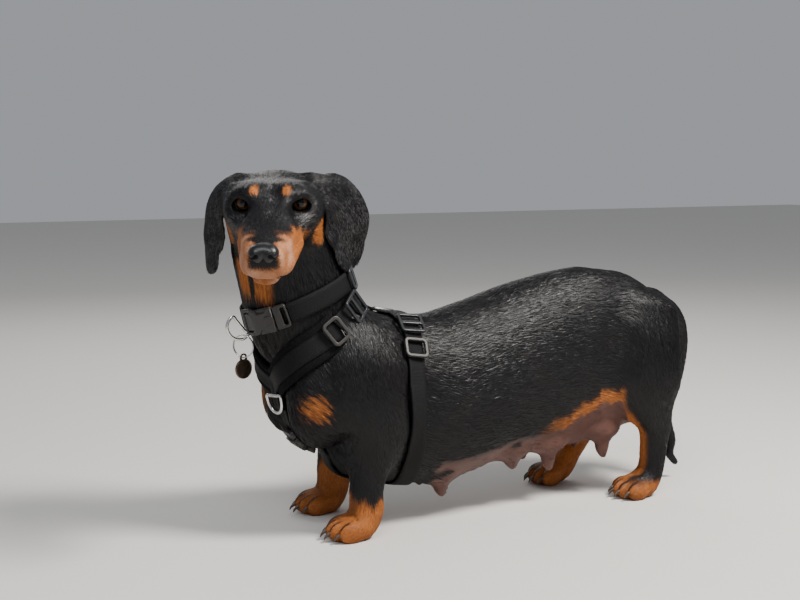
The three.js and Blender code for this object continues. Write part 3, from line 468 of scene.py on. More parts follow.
def head_skin(p):
    """The head with its finer forms, in the head's own axes."""
    d = head_distance(p)
    for s in (1, -1):
        across, up, ahead = eye_plane(p, s)
        # the opening between the lids, and room for the ball behind it
        d = scoop(d, np.maximum(lid_opening(across, up), -ahead), 1.0)
        d = scoop(d, np.linalg.norm(p - EYE_AT * [1, s, 1], axis=1) - (EYE_RADIUS - 1.0), 0.5)
    return scoop(d, mouth.distance(p) - 0.1, 1.6)


# The dog has nursed a litter: two rows of teats hang from the belly, each from a slack fold of skin,
# written as (x, y, height of the belly, height of the tip)
TEATS = [(x, s * y, top, low) for x, y, top, low in (
    (91, 25, 46, 23), (176, 27, 62, 43), (222, 27, 64, 37), (292, 28, 72, 44)) for s in (1, -1)]
folds = [Mass([x, y, top + 4], [23, 15, 13]) for x, y, top, _ in TEATS]
hangs = [Mass([x + 2, y, (top + low) / 2 + 2], [8.5, 8, (top - low) / 2 + 1]) for x, y, top, low in TEATS]
nipples = [Mass([x + 3, y + np.sign(y), low + 4.5], [4.2, 4.2, 5.5]) for x, y, _, low in TEATS]


def on_both_sides(*masses):
    """Masses of (place, radii) on the one side, and their mirror images."""
    return [Mass([x, s * y, z], radii) for s in (1, -1) for (x, y, z), radii in masses]


# Muscles that stand out under the skin, and the hollows between them
muscles = on_both_sides(
    ([-12, 50, 176], [17, 13, 36]), ([20, 55, 146], [21, 14, 34]), ([17, 60, 101], [9, 8, 13]),
    ([-24, 52, 132], [15, 12, 22]), ([338, 46, 158], [30, 15, 40]), ([366, 38, 150], [14, 14, 34]),
    ([362, 47, 82], [7, 7, 16]))
hollows = on_both_sides(([286, 68, 176], [26, 10, 44]), ([50, 76, 140], [12, 10, 40]))
MUSCLE_JOIN, HOLLOW_JOIN, HANG_JOIN, FOLD_JOIN, NIPPLE_JOIN = 9, 16, 10, 8, 3


def body_skin(p):
    """The skin of all but the ears, with the soles flat on the ground."""
    parts = body_fields(p)
    d = flow_together(parts)
    for name in ("foreleg_left", "foreleg_right"):
        d = np.minimum(d, join(parts[name], parts["neck"], BREAST_JOIN))
    flesh = (d > -30) & (d < 30) & (np.abs(p[:, 1]) > 20)
    if flesh.any():
        q = p[flesh]
        d[flesh] = join(d[flesh], nearest(muscles, q), MUSCLE_JOIN)
        d[flesh] = scoop(d[flesh], nearest(hollows, q), HOLLOW_JOIN)
    under = (p[:, 2] < 120) & (p[:, 0] > 45)
    if under.any():
        q = p[under]
        hang = join(nearest(folds, q), nearest(hangs, q), FOLD_JOIN)
        hang = join(hang, nearest(nipples, q), NIPPLE_JOIN)
        d[under] = join(d[under], hang, HANG_JOIN)
    d = d + FINE_COAT + (COAT - FINE_COAT) * np.clip((p[:, 2] - 20) / 80, 0, 1)
    return np.maximum(d, SOLES - p[:, 2])


def head_and_ears(p):
    """The skin of the head, the ears and the neck above the collar."""
    parts = body_fields(p)
    q = in_head(p)
    near = parts["head"] < 30
    if near.any():
        parts["head"][near] = head_skin(q[near])
    d = flow_together(parts)
    d = d + COAT + (FINE_COAT - COAT) * np.clip(1 - parts["head"] / 25, 0, 1)
    close = np.linalg.norm(q - [-45, 0, -25], axis=1) < HEAD_REACH
    q = q[close]
    # each leaf grows broadly out of the skull at its root, and only touches the neck below
    root = np.clip(1 - (np.abs(q[:, 1]) - 36) / 20, 0, 1) * np.clip((q[:, 2] + 12) / 16, 0, 1)
    for ear in ears.values():
        d[close] = join(d[close], ear.distance(q), 1.0 + 15 * root)
    return d


COARSE = 4   # grid steps to a step of the coarse grid, on which a surface is first looked for


def grid_lines(low, high, pace):
    """The three axes of a grid that is a whole number of coarse steps long."""
    return [np.arange(a, b + COARSE * pace, pace)[:COARSE * int((b - a) / (COARSE * pace) + 1) + 1]
            for a, b in zip(low, high)]


def in_chunks(field, p, size=150000):
    """A field's values, worked out for so many points at a time to save memory."""
    return np.concatenate([field(p[i:i + size]) for i in range(0, len(p), size)])


def corners_of(values):
    """The values at the eight corners of each cell of a grid."""
    a, b, c = (n - 1 for n in values.shape)
    return np.stack([values[i:a + i, j:b + j, k:c + k] for i in (0, 1) for j in (0, 1) for k in (0, 1)])


def sample_near(field, axes, reach):
    """Field values on the grid: exact near its surface, and only of the right sign elsewhere."""
    shape = tuple(len(a) for a in axes)
    grid = np.stack(np.meshgrid(*(a[::COARSE] for a in axes), indexing="ij"), -1)
    rough = in_chunks(field, grid.reshape(-1, 3)).reshape(grid.shape[:3])
    sign = rough
    for axis in range(3):
        sign = np.repeat(sign, COARSE, axis)
    sign = sign[:shape[0], :shape[1], :shape[2]]
    values = np.where(sign > 0, 9.0, -9.0).astype(np.float32)
    corners = corners_of(rough)
    band = (np.abs(corners).min(0) < reach) | ((corners.min(0) < 0) & (corners.max(0) > 0))
    wanted = np.zeros(shape, bool)
    for cell in zip(*np.nonzero(band)):
        wanted[tuple(slice(COARSE * at, COARSE * at + COARSE + 1) for at in cell)] = True
    index = np.nonzero(wanted)
    points = np.stack([a[i] for a, i in zip(axes, index)], 1)
    values[index] = in_chunks(field, points)
    return values


def surface_mesh(values, axes):
    """Points and quads of the surface where the values change sign, one point in each cell it crosses."""
    inside = values < 0
    corners = corners_of(inside)
    cells = np.nonzero(corners.any(0) & ~corners.all(0))
    ids = np.full(corners.shape[1:], -1, np.int32)
    ids[cells] = np.arange(len(cells[0]))
    total = np.zeros((len(cells[0]), 3))
    hits = np.zeros(len(cells[0]))
    for axis in range(3):
        step = np.eye(3, dtype=int)[axis]
        others = [k for k in range(3) if k != axis]
        for u in (0, 1):
            for v in (0, 1):
                base = list(cells)
                base[others[0]] = base[others[0]] + u
                base[others[1]] = base[others[1]] + v
                far = tuple(base[k] + step[k] for k in range(3))
                a, b = values[tuple(base)], values[far]
                cross = (a < 0) != (b < 0)
                t = np.where(cross, a / np.where(cross, a - b, 1), 0)
                p = np.stack([axes[k][base[k]] for k in range(3)], 1)
                q = np.stack([axes[k][far[k]] for k in range(3)], 1)
                total += np.where(cross[:, None], p + (q - p) * t[:, None], 0)
                hits += cross
    points = total / hits[:, None]
    quads = []
    for axis in range(3):
        u, v = [(1, 2), (2, 0), (0, 1)][axis]
        lo = [slice(1, -1)] * 3
        lo[axis] = slice(0, -1)
        hi = list(lo)
        hi[axis] = slice(1, None)
        a, b = inside[tuple(lo)], inside[tuple(hi)]
        at = list(np.nonzero(a != b))
        start = [at[k] + (0 if k == axis else 1) for k in range(3)]
        corners = []
        for du, dv in ((1, 1), (0, 1), (0, 0), (1, 0)):
            cell = list(start)
            cell[u] = start[u] - du
            cell[v] = start[v] - dv
            corners.append(ids[tuple(cell)])
        face = np.stack(corners, 1)
        leaving = a[tuple(at)]
        quads.append(np.where(leaving[:, None], face, face[:, ::-1]))
    quads = np.concatenate(quads)
    return points, quads[(quads >= 0).all(1)]


def slope_of(field, p, step=0.4):
    """How fast a field grows along each axis."""
    rows = []
    for k in range(3):
        d = np.zeros(3)
        d[k] = step
        rows.append(in_chunks(field, p + d) - in_chunks(field, p - d))
    return np.stack(rows, 1) / (2 * step)


def settle(field, p):
    """Points moved onto the surface of a field, by a millimetre at most, and the outward normals."""
    slope = slope_of(field, p)
    size = np.maximum(dots(slope, slope), 0.25)
    step = (in_chunks(field, p) / size)[:, None] * slope
    far = np.linalg.norm(step, axis=1, keepdims=True)
    return p - step * np.minimum(1, 1.0 / np.maximum(far, 1e-9)), unit(slope)


# Pieces are modelled in millimetres and placed where the solids stand, by the middle of an eye
eye_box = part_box("eye_left")
MM = 1000   # to a metre
OFFSET = (np.array(eye_box[0]) + np.array(eye_box[1])) * (MM / 2) - from_head(EYE_AT)


def place(points):
    """Points in millimetres where they stand in the scene, in metres."""
    return (np.asarray(points, float) + OFFSET) / MM


def show(name, data):
    """A new thing in the scene, of a mesh, a curve, a light or a camera."""
    thing = bpy.data.objects.new(name, data)
    bpy.context.scene.collection.objects.link(thing)
    return thing


def mesh_piece(name, points, faces):
    """A shown piece from points in millimetres and faces of equal size, or a list of such face arrays."""
    groups = faces if isinstance(faces, list) else [faces]
    mesh = bpy.data.meshes.new(name)
    points = np.asarray(place(points), np.float32)
    mesh.vertices.add(len(points))
    mesh.vertices.foreach_set("co", points.ravel())
    sizes = np.concatenate([np.full(len(g), g.shape[1]) for g in groups])
    loops = np.concatenate([np.asarray(g).ravel() for g in groups])
    mesh.loops.add(len(loops))
    mesh.loops.foreach_set("vertex_index", loops.astype(np.int32))
    mesh.polygons.add(len(sizes))
    mesh.polygons.foreach_set("loop_start", np.concatenate([[0], np.cumsum(sizes)[:-1]]).astype(np.int32))
    mesh.polygons.foreach_set("use_smooth", np.full(len(sizes), True))
    mesh.update(calc_edges=True)
    mesh.validate()
    return show(name, mesh)


def store(piece, **values):
    """Values at the points of a piece: single numbers, or vectors."""
    for name, data in values.items():
        data = np.asarray(data, np.float32)
        kind = "FLOAT" if data.ndim == 1 else "FLOAT_VECTOR"
        attribute = piece.data.attributes.new(name, kind, "POINT")
        attribute.data.foreach_set("value" if data.ndim == 1 else "vector", data.ravel())


COLLAR_MIDDLE = np.array([-55.0, 0, 239])
COLLAR_TILT = radians(22.5)
COLLAR_UP = np.array([-sin(COLLAR_TILT), 0, cos(COLLAR_TILT)])
SEAM = 3   # how far each part of the skin goes on past the middle of the collar


def above_collar(p):
    """How far points lie above the middle of the collar."""
    return (p - COLLAR_MIDDLE) @ COLLAR_UP


def beside_ears(p):
    """How far points lie from the nearer ear."""
    return nearest(ears.values(), in_head(p))


def skin_piece(name, field, low, high, pace, keep):
    """One part of the skin. The two parts meet out of sight, under the collar."""
    axes = grid_lines(low, high, pace)
    points, quads = surface_mesh(sample_near(field, axes, 3.4 * pace + 2), axes)
    points, normals = settle(field, points)
    quads = quads[keep(points)[quads].any(1)]
    used, index = np.unique(quads, return_inverse=True)
    quads = index.reshape(quads.shape)
    return mesh_piece(name, points[used], quads), points[used], normals[used], quads


# Each part is its piece, points, normals and quads
body_part = skin_piece("skin_body", body_skin, (-110, -106, -6), (436, 106, 262), BODY_PACE,
                       lambda p: above_collar(p) < SEAM)
head_part = skin_piece("skin_head", head_and_ears, (-188, -140, 205), (30, 62, 372), HEAD_PACE,
                       lambda p: (above_collar(p) > -SEAM) | (beside_ears(p) < 3))


# The eyes
# Wet, dark brown eyes under dark lids: each a ball with a slight bulge over the iris, set in the skull
# so that it turns on its own middle.

class Socket:
    """A node's output. A material is written as a formula of such outputs."""

    def __init__(self, tree, socket):
        self.tree, self.socket = tree, socket

    def math(self, kind, *values, clamp=False):
        node = self.tree.nodes.new("ShaderNodeMath")
        node.operation = kind
        node.use_clamp = clamp
        for place, value in zip(node.inputs, values):
            plug(self.tree, place, value)
        return Socket(self.tree, node.outputs[0])

    def __add__(self, other):
        return self.math("ADD", self, other)

    def __sub__(self, other):
        return self.math("SUBTRACT", self, other)

    def __rsub__(self, other):
        return self.math("SUBTRACT", other, self)

    def __mul__(self, other):
        return self.math("MULTIPLY", self, other)

    def __truediv__(self, other):
        return self.math("DIVIDE", self, other)

    def __pow__(self, other):
        return self.math("POWER", self, other)

    __radd__, __rmul__ = __add__, __mul__

    def step(self, low, high):
        """A soft step from nothing at low to one at high."""
        t = self.math("ADD", (self - low) / (high - low), 0, clamp=True)
        return t * t * (3 - 2 * t)

    def wave(self):
        return self.math("SINE", self)

    def size(self):
        return self.math("ABSOLUTE", self)


def plug(tree, place, value):
    """Links an output to an input, or gives it a constant."""
    if isinstance(value, Socket):
        tree.links.new(value.socket, place)
    elif place.type == "RGBA" and len(value) == 3:
        place.default_value = (*value, 1)
    else:
        place.default_value = value


class Material:
    """A node tree that ends in one surface."""

    def __init__(self, name, **constants):
        self.material = bpy.data.materials.new(name)
        self.material.use_nodes = True
        self.tree = self.material.node_tree
        self.surface = self.tree.nodes["Principled BSDF"]
        self.set(**constants)

    def set(self, **values):
        for name, value in values.items():
            title = name.replace("_", " ").title().replace("Ior", "IOR")
            plug(self.tree, self.surface.inputs[title], value)

    def node(self, kind, settings=None, output=0, **sockets):
        node = self.tree.nodes.new(f"ShaderNode{kind}")
        for name, value in (settings or {}).items():
            setattr(node, name, value)
        for name, value in sockets.items():
            plug(self.tree, node.inputs[name.replace("_", " ")], value)
        return Socket(self.tree, node.outputs[output])

    def position(self):
        return self.node("NewGeometry", None, "Position")

    def value(self, name):
        return self.node("Attribute", {"attribute_name": name}, "Fac")

    def vector(self, name):
        return self.node("Attribute", {"attribute_name": name}, "Vector")

    def noise(self, vector, scale, detail=2.0, roughness=0.5):
        return self.node("TexNoise", None, "Fac",
                         Vector=vector, Scale=scale, Detail=detail, Roughness=roughness)

    def mix(self, a, b, factor):
        node = self.tree.nodes.new("ShaderNodeMix")
        node.data_type = "RGBA"
        for place, value in zip((node.inputs[0], node.inputs[6], node.inputs[7]), (factor, a, b)):
            plug(self.tree, place, value)
        return Socket(self.tree, node.outputs[2])

    def stretch(self, vector, factors):
        node = self.tree.nodes.new("ShaderNodeVectorMath")
        node.operation = "MULTIPLY"
        for place, value in zip(node.inputs, (vector, factors)):
            plug(self.tree, place, value)
        return Socket(self.tree, node.outputs[0])

    def parts(self, vector):
        node = self.tree.nodes.new("ShaderNodeSeparateXYZ")
        plug(self.tree, node.inputs[0], vector)
        return [Socket(self.tree, out) for out in node.outputs]

    def bump(self, height, distance, strength=1.0):
        self.set(Normal=self.node("Bump", None, "Normal",
                                  Height=height, Distance=distance, Strength=strength))


def dress(piece, slot_name, material, *nodes):
    """Gives a piece its look, and the solids that it takes the place of. The dog is one body."""
    piece.data.materials.clear()
    piece.data.materials.append(material)
    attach(piece, "root")
    if nodes:
        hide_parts(*nodes)


def eye_look():
    look = Material("wet_eye", Roughness=0.03, Specular_Ior_Level=0.3)
    x, y, ahead = look.parts(look.vector("gaze"))
    away = (x * x + y * y) ** 0.5
    rays = look.noise(look.stretch(look.vector("gaze"), (9.0, 9.0, 1.0)), 3.0, 4.0)
    iris = look.mix((0.016, 0.0065, 0.003), (0.080, 0.036, 0.014), rays * 0.8 + 0.15)
    iris = look.mix(iris, (0.010, 0.004, 0.002), away.step(0.52, 0.68))
    colour = look.mix((0.0012, 0.0011, 0.0012), iris, away.step(0.31, 0.36))
    colour = look.mix(colour, (0.055, 0.038, 0.034), away.step(0.74, 0.82))
    # painted shade: the ball darkens where it turns back under the lids into the socket
    back = ahead.step(0.3, 0.1)
    colour = look.mix(colour, (0.02, 0.012, 0.012), back)
    look.set(Base_Color=colour)
    return look.material


def turned_ring(radius, around):
    """Places round a circle."""
    return [[radius * cos(2 * pi * i / around), radius * sin(2 * pi * i / around)] for i in range(around)]


def lathe(profile, around):
    """Points and faces of a profile of (radius, height) turned about Z, from pole to pole."""
    points = np.array([[x, y, h] for r, h in profile for x, y in turned_ring(r, around)])
    row, i = np.meshgrid(np.arange(len(profile) - 1) * around, np.arange(around), indexing="ij")
    j = (i + 1) % around
    quads = np.stack([row + i, row + j, row + around + j, row + around + i], -1)
    return points, quads.reshape(-1, 4)


BALL, BULGE, BULGE_REACH = 11.1, 0.055, 0.75   # the last as an angle from the middle of the iris
wet_eye = eye_look()
for side, s in (("left", 1), ("right", -1)):
    angles = np.linspace(0.02, pi - 0.02, 34)
    bulge = 1 + BULGE * np.clip(1 - angles / BULGE_REACH, 0, 1) ** 1.4
    ball, quads = lathe([(BALL * b * sin(a), BALL * b * cos(a)) for a, b in zip(angles, bulge)], 48)
    # both eyes look at the camera, which is a little above the line of the head
    ahead = unit([0.955, 0.09 + s * 0.05, 0.22])
    across = unit(np.cross([0, 0, 1], ahead))
    centre = EYE_AT * [1, s, 1] + [-0.7, s * 1.4, -0.6]
    turned = ball @ np.array([across, np.cross(ahead, across), unit(ahead)]) + centre
    eye = mesh_piece(f"eyeball_{side}", from_head(turned), quads)
    store(eye, gaze=ball / BALL)
    dress(eye, "eye", wet_eye, f"eye_{side}")


# The nose
# Moist black leather, finely cobbled, with comma nostrils and a cleft down the middle.
# It is a pad at the front of the muzzle, and the short hair begins at its rim.
nose_core = Mass(NOSE_AT + [0, 0, -0.6], [9.5, 13, 9.6], power=2.3)
nose_wings = both(lambda s: Mass(NOSE_AT + [3, s * 7, -1], [8, 6.6, 8]))
nostrils = both(lambda s: Form([
    [86, s * 5.0, -20.4, 1.6, 1.7, 1.9], [91.5, s * 6.4, -21.4, 1.8, 1.8, 2.1],
    [90.0, s * 9.2, -23.2, 1.0, 0.7, 0.8], [85.5, s * 12.4, -24.4, 0.6, 0.5, 0.6],
]))
philtrum = Form([[93, 0, -18, 0.5, 1.0, 1.0], [92.5, 0, -24, 0.55, 1.0, 1.0], [90, 0, -31, 0.7, 1.4, 1.4]],
                sideways=(0, 1, 0))
NOSTRIL_JOIN, CLEFT_JOIN = 1.2, 1.6


def nose_look():
    look = Material("moist_nose", Specular_Ior_Level=0.38, Coat_Weight=0.15, Coat_Roughness=0.2)
    place = look.position()
    cobbles = look.node("TexVoronoi", {"feature": "SMOOTH_F1"}, "Distance",
                        Vector=place, Scale=1050.0, Smoothness=0.3)
    pit = look.value("pit")
    # painted shade: the hollows of the nostrils are darker, and rougher
    look.set(Base_Color=look.mix((0.0042, 0.0036, 0.0044), (0.0008, 0.0007, 0.0007), pit),
             Roughness=0.34 + 0.4 * pit)
    look.bump(1 - cobbles, 0.00025, 0.7)
    return look.material


def nose_field(p):
    # the leather narrows below the nostrils
    narrow = 1 + 0.6 * np.clip((-21 - p[:, 2]) / 10, 0, 1)
    q = p * np.stack([np.ones(len(p)), narrow, np.ones(len(p))], 1)
    d = join(nose_core.distance(q), nearest(nose_wings, q), 3)
    for nostril in nostrils:
        d = scoop(d, nostril.distance(p), NOSTRIL_JOIN)
    return scoop(d, philtrum.distance(p), CLEFT_JOIN)


nose_axes = grid_lines((68, -18, -34), (98, 18, -8), NOSE_PACE)
nose_points, nose_quads = surface_mesh(sample_near(nose_field, nose_axes, 4), nose_axes)
nose_points, _ = settle(nose_field, nose_points)
nose = mesh_piece("nose_leather", from_head(nose_points), nose_quads)
# how far into a nostril each point lies; the leather is painted darker there as shade
store(nose, pit=np.clip(1 - nearest(nostrils, nose_points) / NOSTRIL_JOIN, 0, 1))
dress(nose, "nose", nose_look(), "nose")


# The claws
# Short dark horn, blunt from walking. One grows out of the tip of each toe and curves down.

def claw_look():
    look = Material("horn", Roughness=0.32, Specular_Ior_Level=0.5)
    place = look.position()
    look.set(Base_Color=look.mix((0.020, 0.014, 0.011), (0.085, 0.055, 0.040), look.noise(place, 90.0)))
    return look.material


CLAW_LINE = np.array([[-8, 0, 9.5], [-13, 0, 9.2], [-17, 0, 6.6], [-18.8, 0, 3.4]])
CLAW_ROWS, CLAW_SIDES, CLAW_BEND = 9, 10, 1.2
CLAW_RADIUS, CLAW_TIP = 2.1, 0.12
claw_points, claw_quads = [], []
for leg in legs.values():
    for x, y in leg.toes:
        spine = curve_points(CLAW_LINE + [x, y, 0], np.linspace(0, 1, CLAW_ROWS))
        radii = np.linspace(1, 0, CLAW_ROWS) ** 0.55 * CLAW_RADIUS + CLAW_TIP
        for i, (at, radius) in enumerate(zip(spine, radii)):
            lean = -CLAW_BEND * i / (CLAW_ROWS - 1)
            up = np.array([sin(lean), 0, cos(lean)])
            base = len(claw_points)
            claw_points += [at + radius * (cos(a) * np.array([0, 0.8, 0]) + sin(a) * up)
                            for a in np.linspace(0, 2 * pi, CLAW_SIDES, endpoint=False)]
            before = base - CLAW_SIDES
            turn = [(k, (k + 1) % CLAW_SIDES) for k in range(CLAW_SIDES)]
            claw_quads += [[base + a, base + b, before + b, before + a] for a, b in turn] if i else []
claws = mesh_piece("claws", claw_points, np.array(claw_quads))
dress(claws, "nose", claw_look())


# The harness and collar
# A Y-front harness of black nylon webbing, sewn on fleece-lined pads at the front, and a collar of
# the same webbing. They are worn: every band follows the coat, just clear of it.
STRAP_GAP = 0.9   # from the coat to the straps
WEBBING, WEBBING_THICK, COLLAR_THICK = 20.0, 2.2, 2.4
PAD_THICK = 5.0
BAND_PACE = 2.0   # between the rows of points along a strap


def on_coat(p, height, rounds=6):
    """The nearest points at a height above the coat, with the way out of it."""
    height = np.broadcast_to(height, len(p))
    for _ in range(rounds):
        out = unit(slope_of(coat_field, p, 0.5))
        p = p + out * (height - coat_field(p))[:, None]
    return p, out


CURVE_STEPS = 900


def paced_curve(points, closed):
    """A smooth curve through the points, as a function of the share of its length, and that length."""
    points = np.asarray(points, float)
    if closed:
        ring = np.vstack([points[-2:], points, points[:3]])
        raw = curve_points(ring, (np.linspace(0, len(points), CURVE_STEPS) + 2) / (len(ring) - 1))
    else:
        raw = curve_points(points, np.linspace(0, 1, CURVE_STEPS))
    run = np.concatenate([[0], np.cumsum(np.linalg.norm(np.diff(raw, axis=0), axis=1))])

    def at_share(share):
        return np.stack([np.interp(np.asarray(share) * run[-1], run, row) for row in raw.T], -1)

    return at_share, run[-1]


band_meshes = {}


class Route:
    """A strap's way over the coat."""

    def __init__(self, points, closed=False):
        laid, _ = on_coat(np.array(points, float), STRAP_GAP)
        self.closed = closed
        self.curve, self.length = paced_curve(laid, closed)

    def held(self, share):
        """A share kept on the strap: round and round a closed one, and within the ends of an open one."""
        return np.mod(share, 1) if self.closed else np.clip(share, 0, 1)

    def lay(self, along, across, start):
        """Points of the strap's underside, along in millimetres from a share, and the way out there."""
        shares = start + along / self.length
        count = max(3, int(np.ptp(shares) * self.length / 3) + 2)
        keys = np.linspace(shares.min() - 0.002, shares.max() + 0.002, count)
        near = 1.5 / self.length
        ahead = unit(self.curve(self.held(keys + near)) - self.curve(self.held(keys - near)))
        # past the ends of an open strap its line goes straight on
        beyond = 0 * keys if self.closed else keys - self.held(keys)
        at = self.curve(self.held(keys)) + ahead * (beyond * self.length)[:, None]
        at, out = on_coat(at, STRAP_GAP, 2)
        side = unit(np.cross(out, ahead))
        base, wide = (np.stack([np.interp(shares, keys, row) for row in rows.T], 1) for rows in (at, side))
        return on_coat(base + unit(wide) * across[:, None], STRAP_GAP, 3)

    def band(self, name, outline, start, end):
        """A strap with an outline of [across, height] points, closed at both ends."""
        length = (end - start) * self.length
        rows, n = max(2, int(length / BAND_PACE)), len(outline)
        along = np.repeat(np.linspace(0, length, rows), n)
        across, height = np.tile(np.array(outline, float).T, rows)
        points, out = self.lay(along, across, start)
        points = points + out * height[:, None]
        i, k = np.meshgrid(np.arange(rows - 1), np.arange(n), indexing="ij")
        a, b = i * n + k, i * n + (k + 1) % n
        quads = np.stack([a, b, b + n, a + n], -1).reshape(-1, 4)
        ends = [np.arange(n)[::-1][None], (np.arange(n) + (rows - 1) * n)[None]]
        piece = mesh_piece(name, points, [quads, *ends])
        store(piece, strap=np.stack([along, across, height], 1))
        band_meshes[name] = points, quads, across, height
        return piece

    def fit(self, name, shape, share, height, bend=True):
        """A flat-modelled fitting, x along the strap and z out of it, set on the strap at a share."""
        points, faces = shape
        if bend:
            base, out = self.lay(points[:, 0], points[:, 1], share)
            return mesh_piece(name, base + out * (points[:, 2] + height)[:, None], faces)
        line, out = self.lay(np.array([-3.0, 0, 3.0]), np.zeros(3), share)
        x = unit(line[2] - line[0])
        z = unit(out[1] - x * (out[1] @ x))
        return mesh_piece(name, line[1] + points @ np.array([x, np.cross(z, x), z]) + z * height, faces)


def webbing_look():
    """Nylon: ribs across the strap, a herringbone of yarns, and a line of stitches by each edge."""
    look = Material("nylon_webbing", Roughness=0.66, Specular_Ior_Level=0.16)
    along, across, _ = look.parts(look.vector("strap"))
    ribs = (along * 4.6 + (across * 2.1).wave() * 0.9).wave()
    yarns = (across * 5.2).wave()
    edge = across.size().step(8.4, 9.4)
    stitch_row = 1 - ((across.size() - 7.4) * 1.9).size().step(0.4, 1.0)
    stitch = stitch_row * (along * 2.1).wave().step(-0.1, 0.5)
    tone = look.mix((0.0018, 0.0018, 0.0022), (0.0070, 0.0068, 0.0076), ribs * 0.35 + yarns * 0.15 + 0.5)
    tone = look.mix(tone, (0.014, 0.0135, 0.014), stitch * 0.6)
    look.set(Base_Color=tone)
    look.bump(ribs * 0.5 + yarns * 0.25 + stitch * 1.3 - edge * 0.5, 0.00022, 0.9)
    return look.material


def fleece_look():
    look = Material("black_fleece", Roughness=0.95, Specular_Ior_Level=0.08)
    place = look.position()
    curls = look.noise(place, 420.0, 4.0, 0.7)
    clumps = look.noise(place, 120.0, 2.0)
    tone = curls * 0.7 + clumps * 0.3
    look.set(Base_Color=look.mix((0.0022, 0.0022, 0.0027), (0.0125, 0.0118, 0.0125), tone))
    look.bump(curls + clumps, 0.0012, 1.0)
    return look.material


def rounded(width, low, thick, r=0.7):
    """The outline of a flat band with rounded edges."""
    w = width / 2
    return [[-w, low + r], [-w + r, low], [-w / 2, low], [0, low], [w / 2, low], [w - r, low], [w, low + r],
            [w, low + thick - r], [w - r, low + thick], [w / 2, low + thick], [0, low + thick],
            [-w / 2, low + thick], [-w + r, low + thick], [-w, low + thick - r]]


WEB = rounded(WEBBING, 0, WEBBING_THICK)
FLEECE = [[-16, 0.2], [-8, 0], [0, 0], [8, 0], [16, 0.2], [17.2, 1.6], [17.2, 3.4], [16, 4.6], [13, 5.2],
          [10.6, 5.0], [0, 4.9], [-10.6, 5.0], [-13, 5.2], [-16, 4.6], [-17.2, 3.4], [-17.2, 1.6]]
SIDES = {"left": -1, "right": 1}


def collar_point(degrees, reach=55):
    """A place on a tilted hoop round the neck, counted from the nape."""
    back = cos(radians(degrees)) * reach
    x, _, z = COLLAR_MIDDLE
    return [x + back * cos(COLLAR_TILT), -sin(radians(degrees)) * reach, z + back * sin(COLLAR_TILT)]


collar = Route([collar_point(30 * i) for i in range(12)], closed=True)
stem = Route([
    [-84, 0, 152], [-82, 0, 130], [-71, 0, 105], [-52, 0, 80], [-20, 0, 62], [20, 0, 48], [59, 0, 42]])
spine_route = Route([[-6, 0, 247], [18, 0, 236], [40, 0, 224], [61, 0, 218]])
arms, shoulders, girths = {}, {}, {}
for side, s in SIDES.items():
    arms[side] = Route([
        [-86, 0, 150], [-80, s * 20, 161], [-68, s * 38, 181], [-50, s * 47, 198], [-36, s * 50, 210]])
    shoulders[side] = Route([[-36, s * 50, 210], [-17, s * 42, 228], [-2, s * 26, 239], [6, s * 11, 241]])
    girths[side] = Route([
        [50, s * 9, 222], [52, s * 36, 211], [48, s * 56, 190], [43, s * 64, 150], [43, s * 64, 108],
        [46, s * 48, 66], [48, s * 25, 47], [48, s * 9, 42]])

# Each band runs from one share of its way to another; the collar's goes round past the end of its way
webbing_pieces = {
    "collar": collar.band("collar_webbing", rounded(WEBBING, 0, COLLAR_THICK), 0.488, 1.338),
    "back_strap": spine_route.band("back_webbing", WEB, 0.03, 0.97),
    "sternum_strap": stem.band("sternum_webbing", WEB, 0.144, 0.985),
}
fleece_pieces = [stem.band("fleece_stem", FLEECE, 0.0, 0.14)]
OVERLAY = rounded(WEBBING, PAD_THICK - 0.4, WEBBING_THICK)   # the webbing sewn on the pads
overlays = [stem.band("stem_webbing", OVERLAY, 0.0, 0.143)]
for side in SIDES:
    fleece_pieces.append(arms[side].band(f"fleece_{side}", FLEECE, 0.0, 0.985))
    overlays.append(arms[side].band(f"arm_webbing_{side}", OVERLAY, 0.0, 0.99))
    webbing_pieces[f"shoulder_strap_{side}"] = shoulders[side].band(
        f"shoulder_webbing_{side}", WEB, 0.03, 0.985)
    webbing_pieces[f"girth_strap_{side}"] = girths[side].band(f"girth_webbing_{side}", WEB, 0.0, 1.0)

nylon, fleece = webbing_look(), fleece_look()
for node, piece in webbing_pieces.items():
    dress(piece, "webbing", nylon, node)
for piece in overlays:
    dress(piece, "webbing", nylon)
dress(fleece_pieces[0], "fleece", fleece, "harness_chest")
for piece in fleece_pieces[1:]:
    dress(piece, "fleece", fleece)


# The buckles, sliders and square rings
# Moulded plastic, taupe or black. The buckles part in the middle and are sewn to the webbing at both
# ends; the sliders take up its slack, and the square rings join the straps of the harness.

def plastic_look(name, dark, light, roughness):
    look = Material(name, Specular_Ior_Level=0.5)
    place = look.position()
    grain = look.noise(place, 1400.0, 2.0)
    wear = look.noise(place, 60.0, 3.0)
    look.set(Base_Color=look.mix(dark, light, wear), Roughness=roughness + 0.12 * wear)
    look.bump(grain, 0.00006, 0.5)
    return look.material


